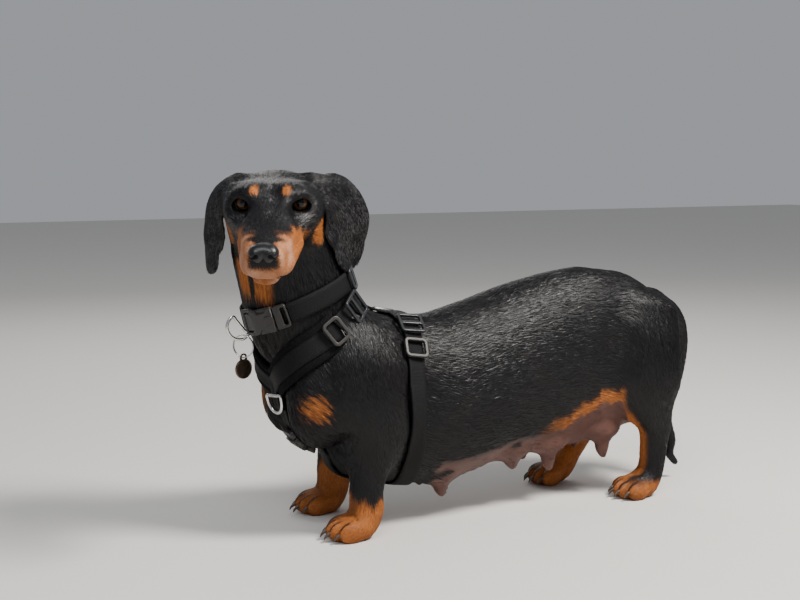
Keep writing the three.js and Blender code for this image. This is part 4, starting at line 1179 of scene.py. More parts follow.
def outline_plate(outer, holes, thick, bevel):
    """A plate with rounded edges from closed outlines, made as a filled curve and turned to a mesh."""
    curve = bpy.data.curves.new("plate", "CURVE")
    curve.dimensions = "2D"
    curve.fill_mode = "BOTH"
    curve.extrude = max(thick / 2 - bevel, 0.01)
    curve.bevel_depth = bevel
    curve.bevel_resolution = 3
    curve.offset = -bevel
    for ring in [outer, *holes]:
        spline = curve.splines.new("POLY")
        spline.points.add(len(ring) - 1)
        spline.points.foreach_set("co", np.array([[x, y, 0, 1] for x, y in ring], np.float32).ravel())
        spline.use_cyclic_u = True
    holder = show("plate", curve)
    mesh = bpy.data.meshes.new_from_object(holder.evaluated_get(bpy.context.evaluated_depsgraph_get()))
    points = np.empty(len(mesh.vertices) * 3, np.float32)
    mesh.vertices.foreach_get("co", points)
    triangles = [list(face.vertices) for face in mesh.polygons]
    bpy.data.objects.remove(holder)
    bpy.data.curves.remove(curve)
    bpy.data.meshes.remove(mesh)
    groups = [np.array([t for t in triangles if len(t) == n]) for n in (3, 4)]
    points = points.reshape(-1, 3).astype(float)
    points[:, 2] += thick / 2
    return points, [g for g in groups if len(g)]


def round_box(length, width, corner, x=0.0, y=0.0, steps=5):
    """The outline of a box with round corners, about (x, y)."""
    ring = []
    for cx, cy, start in ((1, 1, 0), (-1, 1, 90), (-1, -1, 180), (1, -1, 270)):
        for a in np.linspace(start, start + 90, steps):
            ring.append([x + cx * (length / 2 - corner) + corner * cos(radians(a)),
                         y + cy * (width / 2 - corner) + corner * sin(radians(a))])
    return ring


def join_meshes(parts):
    """Several (points, face groups) as one."""
    points, groups, base = [], [], 0
    for p, faces in parts:
        points.append(p)
        groups += [np.asarray(g) + base for g in (faces if isinstance(faces, list) else [faces])]
        base += len(p)
    return np.concatenate(points), groups


def slab(length, width, low, thick, corner=2.0, bevel=0.8, x=0.0, y=0.0, holes=()):
    """A plate with such an outline, its underside at a height."""
    points, groups = outline_plate(round_box(length, width, corner, x, y), list(holes), thick, bevel)
    points[:, 2] += low
    return points, groups


def slider_shape(length, width, thick):
    """A frame with a bar across its middle."""
    return slab(length, width, 0, thick, 4, 0.7, holes=[
        round_box(length / 2 - 5, width - 6, 1.5, x) for x in (length / 4 - 0.7, -length / 4 + 0.7)])


def ring_shape(length, width, thick):
    """An open frame."""
    return slab(length, width, 0, thick, 5, 0.9, holes=[round_box(length - 7, width - 7, 2)])


def buckle_shape(length, width, low, thick):
    """A side-release buckle: a waisted shell, the arms in its sides, and the frames for the webbing."""
    half = width / 2 - 1
    waist = [[-0.24, 1], [-0.16, 1], [-0.11, 0.72], [0.02, 0.66], [0.07, 0.95], [0.16, 1]]
    side = [[x * length, share * half] for x, share in waist]
    shell = outline_plate(side[::-1] + [[x, -y] for x, y in side], [], thick, 1.3)
    shell[0][:, 2] += low
    frame_low, frame_thick = low + 0.3, thick * 0.72
    parts = [
        shell,
        slab(length * 0.34, width, frame_low, frame_thick, 3.0, 1.0, x=length * 0.33,
             holes=[round_box(length * 0.20, width - 7, 1.5, length * 0.335)]),
        slab(length * 0.20, width - 9, low + 0.2, frame_thick - 1.2, 1.5, 0.8, x=length * 0.34),
        slab(length * 0.24, width - 3, frame_low, frame_thick, 2.5, 1.0, x=-length * 0.37,
             holes=[round_box(length * 0.07, width - 9, 1.2, -length * 0.42)]),
        slab(length * 0.16, width * 0.34, low + thick - 1.3, 1.9, 2.0, 0.8, x=-length * 0.17),
    ]
    parts += [slab(length * 0.30, 4.6, low + 1.0, thick - 2.6, 2.0, 1.1, x=-length * 0.06, y=y)
              for y in (2.2 - half, half - 2.2)]
    return join_meshes(parts)


SEAT = 0.35   # the clearance between the hardware and what it lies on
BUCKLE_WIDTH, RING_THICK = 26, 3.5
plastic_pieces, black_pieces = {}, {}
buckle_start, buckle_end = 0.335, 0.49   # shares of the collar's way
plastic_pieces["collar_buckle"] = collar.fit(
    "collar_buckle_shell", buckle_shape((buckle_end - buckle_start) * collar.length, BUCKLE_WIDTH, 0.4, 7.6),
    (buckle_start + buckle_end) / 2, 0)
black_pieces["collar_slider"] = collar.fit(
    "collar_slider_frame", slider_shape(16, 23, 2.4), 0.092, COLLAR_THICK + SEAT + 1.6)
plastic_pieces["sternum_buckle"] = stem.fit(
    "sternum_buckle_shell", buckle_shape(0.16 * stem.length, BUCKLE_WIDTH, 0, 7), 0.34, WEBBING_THICK + SEAT)
for side in SIDES:
    plastic_pieces[f"shoulder_ring_{side}"] = arms[side].fit(
        f"shoulder_square_{side}", ring_shape(21, BUCKLE_WIDTH, RING_THICK), 0.95,
        PAD_THICK + 1.8 + SEAT + 1.2, bend=False)
    black_pieces[f"shoulder_slider_{side}"] = shoulders[side].fit(
        f"shoulder_tri_glide_{side}", slider_shape(26, 27, 3), 0.43, WEBBING_THICK + SEAT + 2.2, bend=False)
    black_pieces[f"girth_slider_{side}"] = girths[side].fit(
        f"girth_tri_glide_{side}", slider_shape(26, 27, 3), 0.125, WEBBING_THICK + SEAT + 1.6, bend=False)
    plastic_pieces[f"girth_ring_{side}"] = girths[side].fit(
        f"girth_square_{side}", ring_shape(21, BUCKLE_WIDTH, RING_THICK), 0.245,
        WEBBING_THICK + SEAT + 1.2, bend=False)

taupe = plastic_look("taupe_plastic", (0.014, 0.0125, 0.012), (0.022, 0.0195, 0.0185), 0.38)
black_plastic = plastic_look("black_plastic", (0.011, 0.012, 0.014), (0.020, 0.021, 0.024), 0.26)
for node, piece in plastic_pieces.items():
    dress(piece, "plastic", taupe, node)
for node, piece in black_pieces.items():
    dress(piece, "black_plastic", black_plastic, node)


# The wire rings and the tag
# D rings of bright steel wire on the collar and the chest. A bare bronze disc with a raised rim hangs
# from the collar's D ring by a split ring.

def metal_look(name, dark, light, roughness):
    look = Material(name, Metallic=1.0)
    place = look.position()
    tarnish = look.noise(place, 110.0, 4.0, 0.6)
    scratches = look.noise(look.stretch(place, (900.0, 160.0, 900.0)), 1.0, 2.0)
    look.set(Base_Color=look.mix(light, dark, tarnish.step(0.4, 0.75)),
             Roughness=roughness + 0.25 * tarnish * scratches)
    look.bump(scratches, 0.00004, 0.4)
    return look.material


def wire_loop(line, radius, steps=72, around=14):
    """A closed round wire along a closed line of points."""
    at_share, _ = paced_curve(line, True)
    shares = np.linspace(0, 1, steps, endpoint=False)
    at = at_share(shares)
    ahead = unit(at_share(np.mod(shares + 0.004, 1)) - at_share(np.mod(shares - 0.004, 1)))
    middle = at.mean(0)
    flat = unit(np.cross(at[steps // 4] - middle, at[0] - middle))
    out = unit(np.cross(ahead, flat))
    points = np.concatenate([at + radius * (cos(a) * out + sin(a) * flat)
                             for a in np.linspace(0, 2 * pi, around, endpoint=False)])
    i, k = np.meshgrid(np.arange(steps), np.arange(around), indexing="ij")
    cell = lambda u, v: (v % around) * steps + (u % steps)
    quads = np.stack([cell(i, k), cell(i, k + 1), cell(i + 1, k + 1), cell(i + 1, k)], -1)
    return points, quads.reshape(-1, 4)


def wire_hoops(radius, wire, heights, steps, around):
    """Round hoops of wire at some heights, as one."""
    line = [[radius * cos(i * pi / 8), radius * sin(i * pi / 8), 0] for i in range(16)]
    points, faces = wire_loop(line, wire, steps, around)
    return join_meshes([(points + [0, 0, z], faces) for z in heights])


def d_line(width, reach):
    """A D: a straight back, and a bow that reaches forwards."""
    h = width / 2
    bow = [[0.45, 0.98], [0.85, 0.62], [1, 0], [0.85, -0.62], [0.45, -0.98]]
    return [[0, share * h, 0] for share in (-1, -0.5, 0, 0.5, 1)] + [[reach * x, h * y, 0] for x, y in bow]


RING_WIDTH, RING_REACH, RING_WIRE, RING_DROOP = 24, 14, 1.6, radians(25)
seat, seat_out = on_coat(collar.curve([0.515]), STRAP_GAP)
seat = seat[0] + seat_out[0] * (COLLAR_THICK + SEAT + RING_WIRE + 4.8)
c, n = cos(-RING_DROOP), sin(-RING_DROOP)
ring_out = np.array([[c, 0, n], [0, 1, 0], [-n, 0, c]]) @ seat_out[0]
ring_across = unit([-ring_out[2], 0, ring_out[0]])
ring_across = ring_across * np.sign(ring_across[2])
ring_origin = seat - ring_across * 4.5
ring_out = unit(ring_out * [1, 0, 1])
wire, faces = wire_loop(d_line(RING_WIDTH, RING_REACH), RING_WIRE)
wire = wire @ np.array([ring_out, ring_across, np.cross(ring_out, ring_across)]) + ring_origin
steel_pieces = {"collar_ring": mesh_piece("collar_d_ring", wire, faces)}

TAG_RING, TAG_WIRE = 11.0, 1.1
hang = ring_origin + ring_out * RING_REACH * 0.3
hang = hang + ring_across * (-RING_WIDTH / 2 + RING_WIRE + TAG_WIRE + 0.3)
split_at = hang - [0, 0, TAG_RING]


def upright(points, degrees, at):
    """A flat-modelled shape stood on edge, turned about the vertical and moved to its place."""
    a = radians(degrees)
    return points @ np.array([[cos(a), sin(a), 0], [0, 0, 1], [sin(a), -cos(a), 0]]) + at


# the split ring is two turns of a thinner wire
points, faces = wire_hoops(TAG_RING, 0.58, (-0.52, 0.52), 72, 10)
steel_pieces["tag_ring"] = mesh_piece("split_ring", upright(points, -48, split_at), faces)

TAG, TAG_THICK, RIM = 10, 1.8, 9.1   # the disc's radius and thickness, and its rim's radius
LUG, LUG_HOLE, LUG_AT = 4, 2.4, 11.5   # the lug's radii, and its place above the disc's middle
arc = [[TAG * sin(a), TAG * cos(a)] for a in np.linspace(radians(19), radians(341), 60)]
lug = [[LUG * sin(a), LUG_AT + LUG * cos(a)] for a in np.linspace(radians(-128), radians(128), 22)]
hole = [[x, LUG_AT + y] for x, y in turned_ring(LUG_HOLE, 20)]
disc = outline_plate(arc + lug, [hole], TAG_THICK, 0.5)
points, faces = join_meshes([disc, wire_hoops(RIM, 0.42, (0.1, TAG_THICK - 0.1), 64, 8)])
points[:, 2] -= TAG_THICK / 2
tag = mesh_piece("tag_disc", upright(points, 18, split_at - [0, 0, TAG_RING + LUG_AT]), faces)

# the chest's ring lies across the stem and stands a little off it
FRONT_WIDTH, FRONT_REACH, FRONT_WIRE, FRONT_TURN = 20, 18, 1.7, radians(20)
wire, faces = wire_loop(d_line(FRONT_WIDTH, FRONT_REACH), FRONT_WIRE)
c, n = cos(-FRONT_TURN), sin(-FRONT_TURN)
wire = wire @ np.array([[1, 0, 0], [0, c, -n], [0, n, c]]).T + [0, 11, 0]
steel_pieces["harness_ring"] = stem.fit(
    "front_d_ring", (wire, faces), 0.055,
    PAD_THICK + 1.8 + SEAT + FRONT_WIDTH / 2 * sin(FRONT_TURN) + FRONT_WIRE, bend=False)
bright_steel = metal_look("bright_steel", (0.34, 0.33, 0.32), (0.70, 0.69, 0.67), 0.16)
for node, piece in steel_pieces.items():
    dress(piece, "steel", bright_steel, node)
dress(tag, "bronze", metal_look("dark_bronze", (0.045, 0.030, 0.024), (0.16, 0.115, 0.085), 0.34), "id_tag")


# The coat
# Short glossy hair that lies flat, black with tan points, over the skin of body, head and ears.
# It grows along each part. The skin carries its colours, and tufts stand a little out of it.
RANDOM = np.random.default_rng(7)
FORMS = {"trunk": trunk, "neck": neck, "tail": tail, "head": skull}
FORMS.update((name, leg.form) for name, leg in legs.items())


def part_along(name, p):
    """The lie of the hair that a part's form gives at points, before it is laid on the skin."""
    if name in ears:
        leaf = ears[name]
        q = in_head(p)
        far = np.stack([((q - a) ** 2).sum(1) for a in leaf.at])
        return leaf.along[far.argmin(0)] @ HEAD_AXES
    if name == "head":
        q = in_head(p)
        spread = np.stack([-np.ones(len(q)), q[:, 1] / 70, (q[:, 2] + 25) / 90], 1)
        return unit(spread) @ HEAD_AXES
    form = FORMS[name]
    index, share = form.nearest(p)
    along = form.along[index] * (1 - share[:, None]) + form.along[index + 1] * share[:, None]
    return -along if name == "neck" else along


def survey(p):
    """Each part's distance at points of the skin, the ears with them."""
    parts = body_fields(p)
    q = in_head(p)
    for side, leaf in ears.items():
        parts[side] = leaf.distance(q)
    return parts


def lie_of_hair(p, normals, parts):
    """Unit vectors along the skin, from the root of each hair to its tip."""
    total = np.zeros((len(p), 3))
    for name, d in parts.items():
        weight = np.exp(-np.clip(d + COAT, 0, 80) / (4 if name in ears else 11))
        near = weight > 0.004
        if near.any():
            total[near] += part_along(name, p[near]) * weight[near, None]
    total += [0.0, 0.0, -0.12]
    total -= normals * dots(total, normals)[:, None]
    return unit(total)


def soft_step(x):
    x = np.clip(x, 0, 1)
    return x * x * (3 - 2 * x)


def blob(p, at, radii, edge=0.3):
    """One inside an egg-shaped patch, nothing outside, with a soft and slightly ragged edge."""
    far = np.linalg.norm((p - at) / radii, axis=1)
    ragged = 0.07 * np.sin(p @ [0.9, 0.4, 0.7]) + 0.05 * np.sin(p @ [-0.5, 1.3, 0.8] + 1)
    return soft_step((1 + edge / 2 - far + ragged) / edge)


def markings(p, normals, parts):
    """How tan, how grey with hairs and painted sheen, how bare and how dark each point of the coat is."""
    q = in_head(p)
    ahead, side, up = q[:, 0], np.abs(q[:, 1]), q[:, 2]
    x, y, z = p.T
    mirrored = np.stack([ahead, side, up], 1)
    from_ears = np.minimum(parts["left"], parts["right"])
    on_head = soft_step((14 - parts["head"]) / 8) * (1 - soft_step((4 - from_ears) / 2))
    brow = blob(mirrored, [2, 15.2, 12.6], [12, 4.3, 3.9], 0.6)
    # the sides of the muzzle below a black bridge, which narrows towards the nose
    bridge = 7.5 + 9 * soft_step((52 - ahead) / 55)
    top = -9 - 14 * soft_step((42 - ahead) / 44)
    wave = 1.6 * np.sin(ahead * 0.33) + 1.2 * np.sin(ahead * 0.71 + side * 0.4)
    muzzle = soft_step((side - bridge + wave) / 6) * soft_step((top - up + wave) / 8)
    muzzle *= soft_step((ahead + 4) / 14)
    muzzle = np.maximum(muzzle, soft_step((-30 - up) / 6) * soft_step((ahead - 20) / 14))
    jowl = soft_step((-46 - up) / 5) * soft_step((ahead + 6) / 20)
    cheek = blob(mirrored, [-19, 41, -31], [13, 13, 12.5], 0.4) * soft_step((side - 33 + wave) / 5)
    tan = np.maximum.reduce([brow, muzzle, jowl, cheek]) * on_head
    # two patches of the throat, parted by a dark line, down to the collar
    throat_way = (p - [-96, -18, 268]) @ unit([0.35, -0.1, 1])
    front = soft_step(-normals @ unit([0.8, 0.45, 0.3]) * 2.2 - 0.6)
    across = (p - [-96, -12, 268]) @ unit([0.5, -0.86, 0])
    throat = front * soft_step((34 - np.abs(throat_way)) / 14) * soft_step((np.abs(across) - 2.2) / 2.5)
    throat *= soft_step((25 - np.abs(across)) / 8) * soft_step((10 - parts["neck"]) / 4) * (1 - on_head)
    chest = np.maximum(*(blob(p, at, [20, 22, 19], 0.35) for at in ([-54, -44, 137], [-60, 42, 137])))
    tan = np.maximum.reduce([tan, throat, chest])
    # the lower legs, with a dark streak down the front of each toe
    for name, leg in legs.items():
        near = soft_step((9 - parts[name]) / 4)
        centre = leg.toes[1][1] / 2 + leg.toes[2][1] / 2
        out = (y - centre) * np.sign(centre)
        if name.startswith("fore"):
            edge = 56 - 0.9 * out + 3 * np.sin(x * 0.4)
            low = soft_step((edge - z) / 12)
            streak = soft_step((7 - np.abs(out - 4)) / 5) * soft_step((60 - z) / 8) * soft_step((z - 24) / 8)
            streak *= soft_step((normals[:, 0] * -1 + 0.9) / 0.5) * 0.5
        else:
            inner = soft_step((-out + 4) / 8)
            fore = soft_step((-normals[:, 0] - 0.1) / 0.5)
            low = np.maximum(inner, fore * soft_step((8 - out) / 8)) * soft_step((150 - z) / 40)
            low = np.maximum(low, soft_step((24 - z) / 10))
            streak = 0
        pencil = np.max([soft_step((2.6 - np.abs(y - toe_y)) / 1.8) * soft_step((toe_x + 4 - x) / 6)
                         for toe_x, toe_y in leg.toes], axis=0)
        pencil *= soft_step((normals[:, 2] + 0.1) / 0.4) * soft_step((26 - z) / 4)
        tan = np.maximum(tan, near * low * (1 - 0.85 * np.maximum(pencil, streak)))
    vent = blob(p, [398, 0, 162], [16, 13, 20])
    # the hair of the flank ends along a hem, with a tan edge towards the stifle
    hem = np.interp(x, [55, 85, 110, 222, 275, 305, 345], [46, 62, 76, 98, 124, 128, 128])
    hem += 2.5 * np.sin(x * 0.21) + 1.5 * np.sin(x * 0.53 + 1)
    on_trunk = np.maximum(soft_step((8 - parts["trunk"]) / 6), soft_step((9 - nearest(folds, p)) / 4))
    flank = soft_step((hem + 3 - z) / 9) * soft_step((x - 190) / 50) * on_trunk * soft_step((352 - x) / 16)
    tan = np.maximum.reduce([tan, vent, flank * 0.95])
    # the belly is nearly bare skin
    below = soft_step((-normals[:, 2] - 0.35) / 0.35) * soft_step((x - 62) / 24) * soft_step((350 - x) / 30)
    teats = nearest((*hangs, *nipples), p)
    side_skin = soft_step((hem - 7 - z) / 13) * soft_step((x - 62) / 24) * soft_step((338 - x) / 30) * 0.9
    bare = np.maximum.reduce([below, side_skin, soft_step((14 - teats) / 8) * soft_step((x - 60) / 20)])
    bare = bare * np.maximum(on_trunk, soft_step((8 - teats) / 4))
    inner_ear = np.zeros(len(p))
    for side_name, leaf in ears.items():
        near = parts[side_name] < 5
        if near.any():
            _, _, out, _, (_, cup, _) = leaf.local(q[near])
            inner_ear[near] = soft_step((-out - cup * 0.5) / 2) * 0.5
    bare = np.maximum(bare, inner_ear * 0.6)
    lips = soft_step((2.4 - mouth.distance(q)) / 2.0) * soft_step((10 - parts["head"]) / 4)
    dark = lips
    for s in (1, -1):
        across_eye, up_eye, eye_ahead = eye_plane(q, s)
        rim = soft_step((3.0 - lid_opening(across_eye, up_eye)) / 2.4) * soft_step((eye_ahead + 1) / 3)
        dark = np.maximum(dark, rim)
    rim_of_nose = soft_step((1.6 - nose_field(q)) / 1.4) * soft_step((7.5 - side) / 5)
    dark = np.maximum(dark, rim_of_nose * soft_step((ahead - 66) / 8) * 0.8)
    pale = soft_step((ahead - 42) / 24) * muzzle * on_head
    # greyish hairs with painted sheen on the forehead and the cheeks below the eyes, and painted sheen over
    # the ears
    grey_hair_and_sheen = soft_step((9 - side) / 8) * soft_step((up + 18) / 10) * soft_step((46 - ahead) / 20) * on_head
    grey_hair_and_sheen = np.maximum(grey_hair_and_sheen, 0.8 * blob(mirrored, [6, 30, -18], [24, 13, 13], 0.5) * on_head)
    # painted sheen: the ears are greyed all over
    ear_sheen = soft_step((3 - from_ears) / 2)
    grey_hair_and_sheen = np.maximum(grey_hair_and_sheen, ear_sheen * 0.55)
    return dict(tan=tan * (1 - dark), bare=bare, dark=dark, pale=pale, grey_hair_and_sheen=grey_hair_and_sheen)


# Where each part of the skin lies on the unwrapped map: corner in millimetres, and rolling radius
CHARTS = {
    "trunk": (60, 20, 80), "neck": (560, 20, 48), "head": (790, 20, 38), "tail": (20, 560, 11),
    "foreleg_left": (540, 350, 24), "foreleg_right": (540, 520, 24), "hindleg_left": (760, 350, 24),
    "hindleg_right": (760, 520, 24), "left": (40, 680, 0), "right": (240, 680, 0),
}


def unwrap(p, normals, parts, owner=None, turn=None):
    """Places of points on the map in metres, the part each is on, and its turn about that part."""
    names = list(CHARTS)
    if owner is None:
        owner = np.argmin(np.stack([parts[name] for name in names]), axis=0)
    uv = np.zeros((len(p), 2))
    turns = np.zeros(len(p))
    for index, name in enumerate(names):
        mine = owner == index
        if not mine.any():
            continue
        left, low, radius = CHARTS[name]
        if name in ears:
            leaf = ears[name]
            share, back, _, along, _ = leaf.local(in_head(p[mine]))
            facing = dots(normals[mine] @ HEAD_AXES.T, np.tile(leaf.out[15], (mine.sum(), 1)))
            turns[mine] = np.sign(facing) if turn is None else turn[mine]
            uv[mine] = np.stack([left + share * 130 + along, low + 50 + back + 100 * (turns[mine] < 0)], 1)
            continue
        form = FORMS[name]
        local_points = in_head(p[mine]) if name == "head" else p[mine]
        _, _, (side, over, along), _, share = form.local(local_points)
        angle = np.arctan2(side, over)
        if turn is not None:
            angle = turn[mine] + (angle - turn[mine] + pi) % (2 * pi) - pi
        turns[mine] = angle
        length = np.linalg.norm(np.diff(form.at, axis=0), axis=1).sum()
        uv[mine] = np.stack([left + share * length + along, low + (angle + pi) * radius], 1)
    return uv / 1000, owner, turns


def map_skin(piece, points, normals, quads):
    """Gives a skin the unwrapped map, face by face, so that no face spans two charts."""
    centres = points[quads].mean(1)
    middle = unit(normals[quads].mean(1))
    _, owner, turn = unwrap(centres, middle, survey(centres))
    corners = quads.ravel()
    uv, _, _ = unwrap(points[corners], normals[corners], None, np.repeat(owner, 4), np.repeat(turn, 4))
    layer = piece.data.uv_layers.new(name="OFBake")
    layer.data.foreach_set("uv", uv.astype(np.float32).ravel())


for piece, points, normals, quads in (body_part, head_part):
    store(piece, **markings(points, normals, survey(points)))
    map_skin(piece, points, normals, quads)


def fur(name, on_skin):
    """The coat's colours, with grey hairs and painted sheen. The skin has the hair as bump, and the tufts a
    shade each.
    """
    look = Material(name, Specular_Ior_Level=0.24)
    place = look.position()
    cloud = look.noise(place, 55.0, 3.0)
    blotch = look.noise(place, 16.0, 2.0)
    lay = look.node("UVMap", {"uv_map": "OFBake"}, "UV")
    strands = look.noise(look.stretch(lay, (160.0, 1500.0, 1.0)), 1.0, 3.0, 0.65)
    fine = strands if on_skin else look.value("shade")
    black = look.mix((0.0010, 0.0010, 0.0013), (0.0056, 0.0054, 0.0070), fine)
    black = look.mix(black, (0.0075, 0.0048, 0.0038), blotch.step(0.45, 0.8) * 0.4)
    # grey hairs with painted sheen on the forehead, cheeks and ears, streaked along the hair
    grey_hair_and_sheen_mask = look.value("grey_hair_and_sheen") * fine.step(0.35, 1.0) * cloud.step(0.3, 0.62)
    black = look.mix(black, (0.135, 0.128, 0.130), grey_hair_and_sheen_mask * 0.75)
    rust = look.mix((0.17, 0.042, 0.008), (0.46, 0.155, 0.032), fine * 0.7 + cloud * 0.3)
    rust = look.mix(rust, (0.10, 0.032, 0.011), blotch.step(0.52, 0.75) * 0.5)
    rust = look.mix(rust, (0.50, 0.27, 0.17), look.value("pale") * cloud.step(0.25, 0.75) * 0.8)
    colour = look.mix(black, rust, look.value("tan") + (cloud - 0.5) * 0.12 * look.value("tan"))
    skin = look.mix((0.046, 0.0195, 0.015), (0.120, 0.053, 0.041), cloud)
    colour = look.mix(colour, skin, look.value("bare").step(0.25, 0.85))
    colour = look.mix(colour, (0.0065, 0.0052, 0.0052), look.value("dark"))
    rough = 0.36 + 0.12 * fine + 0.14 * look.value("tan") - 0.04 * look.value("dark")
    look.set(Base_Color=colour, Roughness=rough)
    if on_skin:
        pores = look.noise(place, 900.0, 2.0)
        hair = strands * (1 - look.value("bare"))
        look.bump(hair + pores * look.value("bare") * 0.6, 0.0007, 0.9)
    return look.material


skin_look, tuft_look = fur("fur_on_skin", True), fur("fur_tufts", False)


dress(body_part[0], "coat", skin_look, "torso", "neck", "tail", *LEG_LINES)
dress(head_part[0], "coat", skin_look, "head", "ear_left", "ear_right")
# the solids stay in the scene, out of sight, and wear the coat's look
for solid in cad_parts.values():
    solid.data.materials.clear()
    solid.data.materials.append(skin_look)


# Tufts break the form everywhere but on the bare belly: thin three-sided slips, laid along the skin
TUFT_SHARE = 1.0
PIECE_TUFTS = 19000   # at most in one piece
TUFT_FACES = np.array([[0, 1, 2], [0, 4, 1], [0, 3, 4], [1, 5, 2], [1, 4, 5], [2, 3, 0], [2, 5, 3],
                       [3, 6, 4], [4, 6, 5], [5, 6, 3]])


def hair_plan(p, parts, marks):
    """Length, width and number to a square millimetre of the tufts at points of the skin."""
    on_face = soft_step((16 - parts["head"]) / 12) * soft_step((in_head(p)[:, 0] + 70) / 60)
    on_ear = soft_step((3 - np.minimum(parts["left"], parts["right"])) / 2)
    limb = soft_step((10 - np.min([parts[name] for name in legs], axis=0)) / 6)
    foot = limb * soft_step((50 - p[:, 2]) / 30)
    length = 8.6 - 2.4 * limb - 1.8 * foot
    length = length - 3.2 * soft_step((8 - parts["tail"]) / 6) * soft_step((190 - p[:, 2]) / 150)
    length = length + (4.6 - length) * on_face
    length = length + (5.0 - length) * on_ear * (1 - on_face * 0.4)
    width = 0.13 * length + 0.08
    ahead = in_head(p)[:, 0]
    length = length * (1 - 0.4 * soft_step((ahead - 30) / 40) * on_face)
    cover = np.where(marks["bare"] > 0.45, 0.12, 2.1)
    return length, width, cover / (length * width)


def tuft_roots(points, normals, quads):
    """Random places on a skin, as dense as the plan asks for, with the normals there."""
    corners = points[quads]
    cross = np.cross(corners[:, 2] - corners[:, 0], corners[:, 3] - corners[:, 1])
    area = 0.5 * np.linalg.norm(cross, axis=1)
    centres = corners.mean(1)
    parts = survey(centres)
    marks = markings(centres, unit(normals[quads].mean(1)), parts)
    _, _, density = hair_plan(centres, parts, marks)
    wanted = area * density * np.where(marks["dark"] > 0.75, 0.25, 1)
    count = RANDOM.poisson(wanted * TUFT_SHARE)
    face = np.repeat(np.arange(len(quads)), count)
    u, v = RANDOM.random((2, len(face), 1))
    mix = lambda rows: ((rows[quads[face, 0]] * (1 - u) + rows[quads[face, 1]] * u) * (1 - v)
                        + (rows[quads[face, 3]] * (1 - u) + rows[quads[face, 2]] * u) * v)
    return mix(points), unit(mix(normals))


def tuft_piece(name, field, roots, normals):
    """One joined mesh of tufts, in a few parts so that each stays light."""
    parts = survey(roots)
    marks = markings(roots, normals, parts)
    flow = lie_of_hair(roots, normals, parts)
    length, width, _ = hair_plan(roots, parts, marks)
    n = len(roots)
    length = length * RANDOM.uniform(0.7, 1.25, n)
    width = width * RANDOM.uniform(0.8, 1.2, n)
    side = np.cross(normals, flow)
    sway = RANDOM.normal(0, 0.09, n)[:, None] + 0.10 * np.sin(roots @ [0.11, 0.07, 0.13])[:, None]
    flow = unit(flow + side * sway)
    side = np.cross(normals, flow)
    lift = 0.065 * length * RANDOM.uniform(0.5, 1.4, n)
    middle = roots + flow * (length * 0.5)[:, None]
    tip = roots + flow * length[:, None]
    middle = middle + normals * (lift * 0.75 - field(middle))[:, None]
    tip = tip + normals * (lift - field(tip))[:, None]
    left_over = lift - field(tip)
    tip = tip + normals * np.clip(left_over, -4, 4)[:, None]
    # where the skin turns away under a tuft, as at the rim of an ear, the tuft is cut short
    stray = np.abs(lift - field(tip)) > 0.6
    tip = np.where(stray[:, None], middle + (tip - middle) * 0.25, tip)
    for points in (middle, tip):
        points[:, 2] = np.maximum(points[:, 2], 0.3)
    base = roots - normals * 0.35
    w, t = (width / 2)[:, None], (width * 0.22)[:, None]
    rows = [base + side * w, base - side * w, base + normals * t * 1.6,
            middle + side * w * 0.85, middle - side * w * 0.85, middle + normals * t, tip]
    points = np.stack(rows, 1).reshape(-1, 3)
    uv_root, _, _ = unwrap(roots, normals, parts)
    patch = np.array([[0, 0.0015], [0, -0.0015], [0, 0],
                      [0.0015, 0.0013], [0.0015, -0.0013], [0.0015, 0], [0.003, 0]])
    uv = (uv_root[:, None] + patch[None] - [0.0015, 0]).reshape(-1, 2)
    shade = RANDOM.random(n)
    # the hair shades as one sleek coat, each tuft turned a little from the skin below it
    tilt = side * RANDOM.normal(0, 0.16, n)[:, None] + flow * RANDOM.normal(0.02, 0.07, n)[:, None]
    edge = side * 0.38
    facing = [normals + tilt + edge, normals + tilt - edge, normals + tilt]
    facing = unit(np.stack([*facing, *facing, normals + tilt], 1)).reshape(-1, 3)
    made = []
    for k, start in enumerate(range(0, n, PIECE_TUFTS)):
        stop = min(n, start + PIECE_TUFTS)
        faces = (np.arange(stop - start)[:, None, None] * 7 + TUFT_FACES).reshape(-1, 3)
        piece = mesh_piece(f"{name}_{k + 1}", points[start * 7:stop * 7], faces)
        own = {key: np.repeat(value[start:stop], 7) for key, value in marks.items()}
        store(piece, shade=np.repeat(shade[start:stop], 7), **own)
        layer = piece.data.uv_layers.new(name="OFBake")
        layer.data.foreach_set("uv", uv[start * 7:stop * 7][faces.ravel()].astype(np.float32).ravel())
        piece.data.normals_split_custom_set_from_vertices(facing[start * 7:stop * 7])
        made.append(piece)
    return made


def ordered(roots, normals):
    """Roots from the rear forwards, so that each piece of the coat is one region."""
    order = np.argsort(-roots[:, 0] + RANDOM.normal(0, 3, len(roots)))
    return roots[order], normals[order]


roots, root_normals = tuft_roots(*body_part[1:])
wanted = above_collar(roots) < 0
coat = tuft_piece("coat_body", body_skin, *ordered(roots[wanted], root_normals[wanted]))
roots, root_normals = tuft_roots(*head_part[1:])
wanted = (above_collar(roots) >= 0) | (beside_ears(roots) < 3)
coat += tuft_piece("coat_head", head_and_ears, *ordered(roots[wanted], root_normals[wanted]))
for piece in coat:
    dress(piece, "coat", tuft_look)


# The curls of the fleece
# Loose fibres of the pads' lining, which stand out along their edges, where it wraps round them.
# Each is a short bent tuft.
CURLS = 0.55   # to a square millimetre


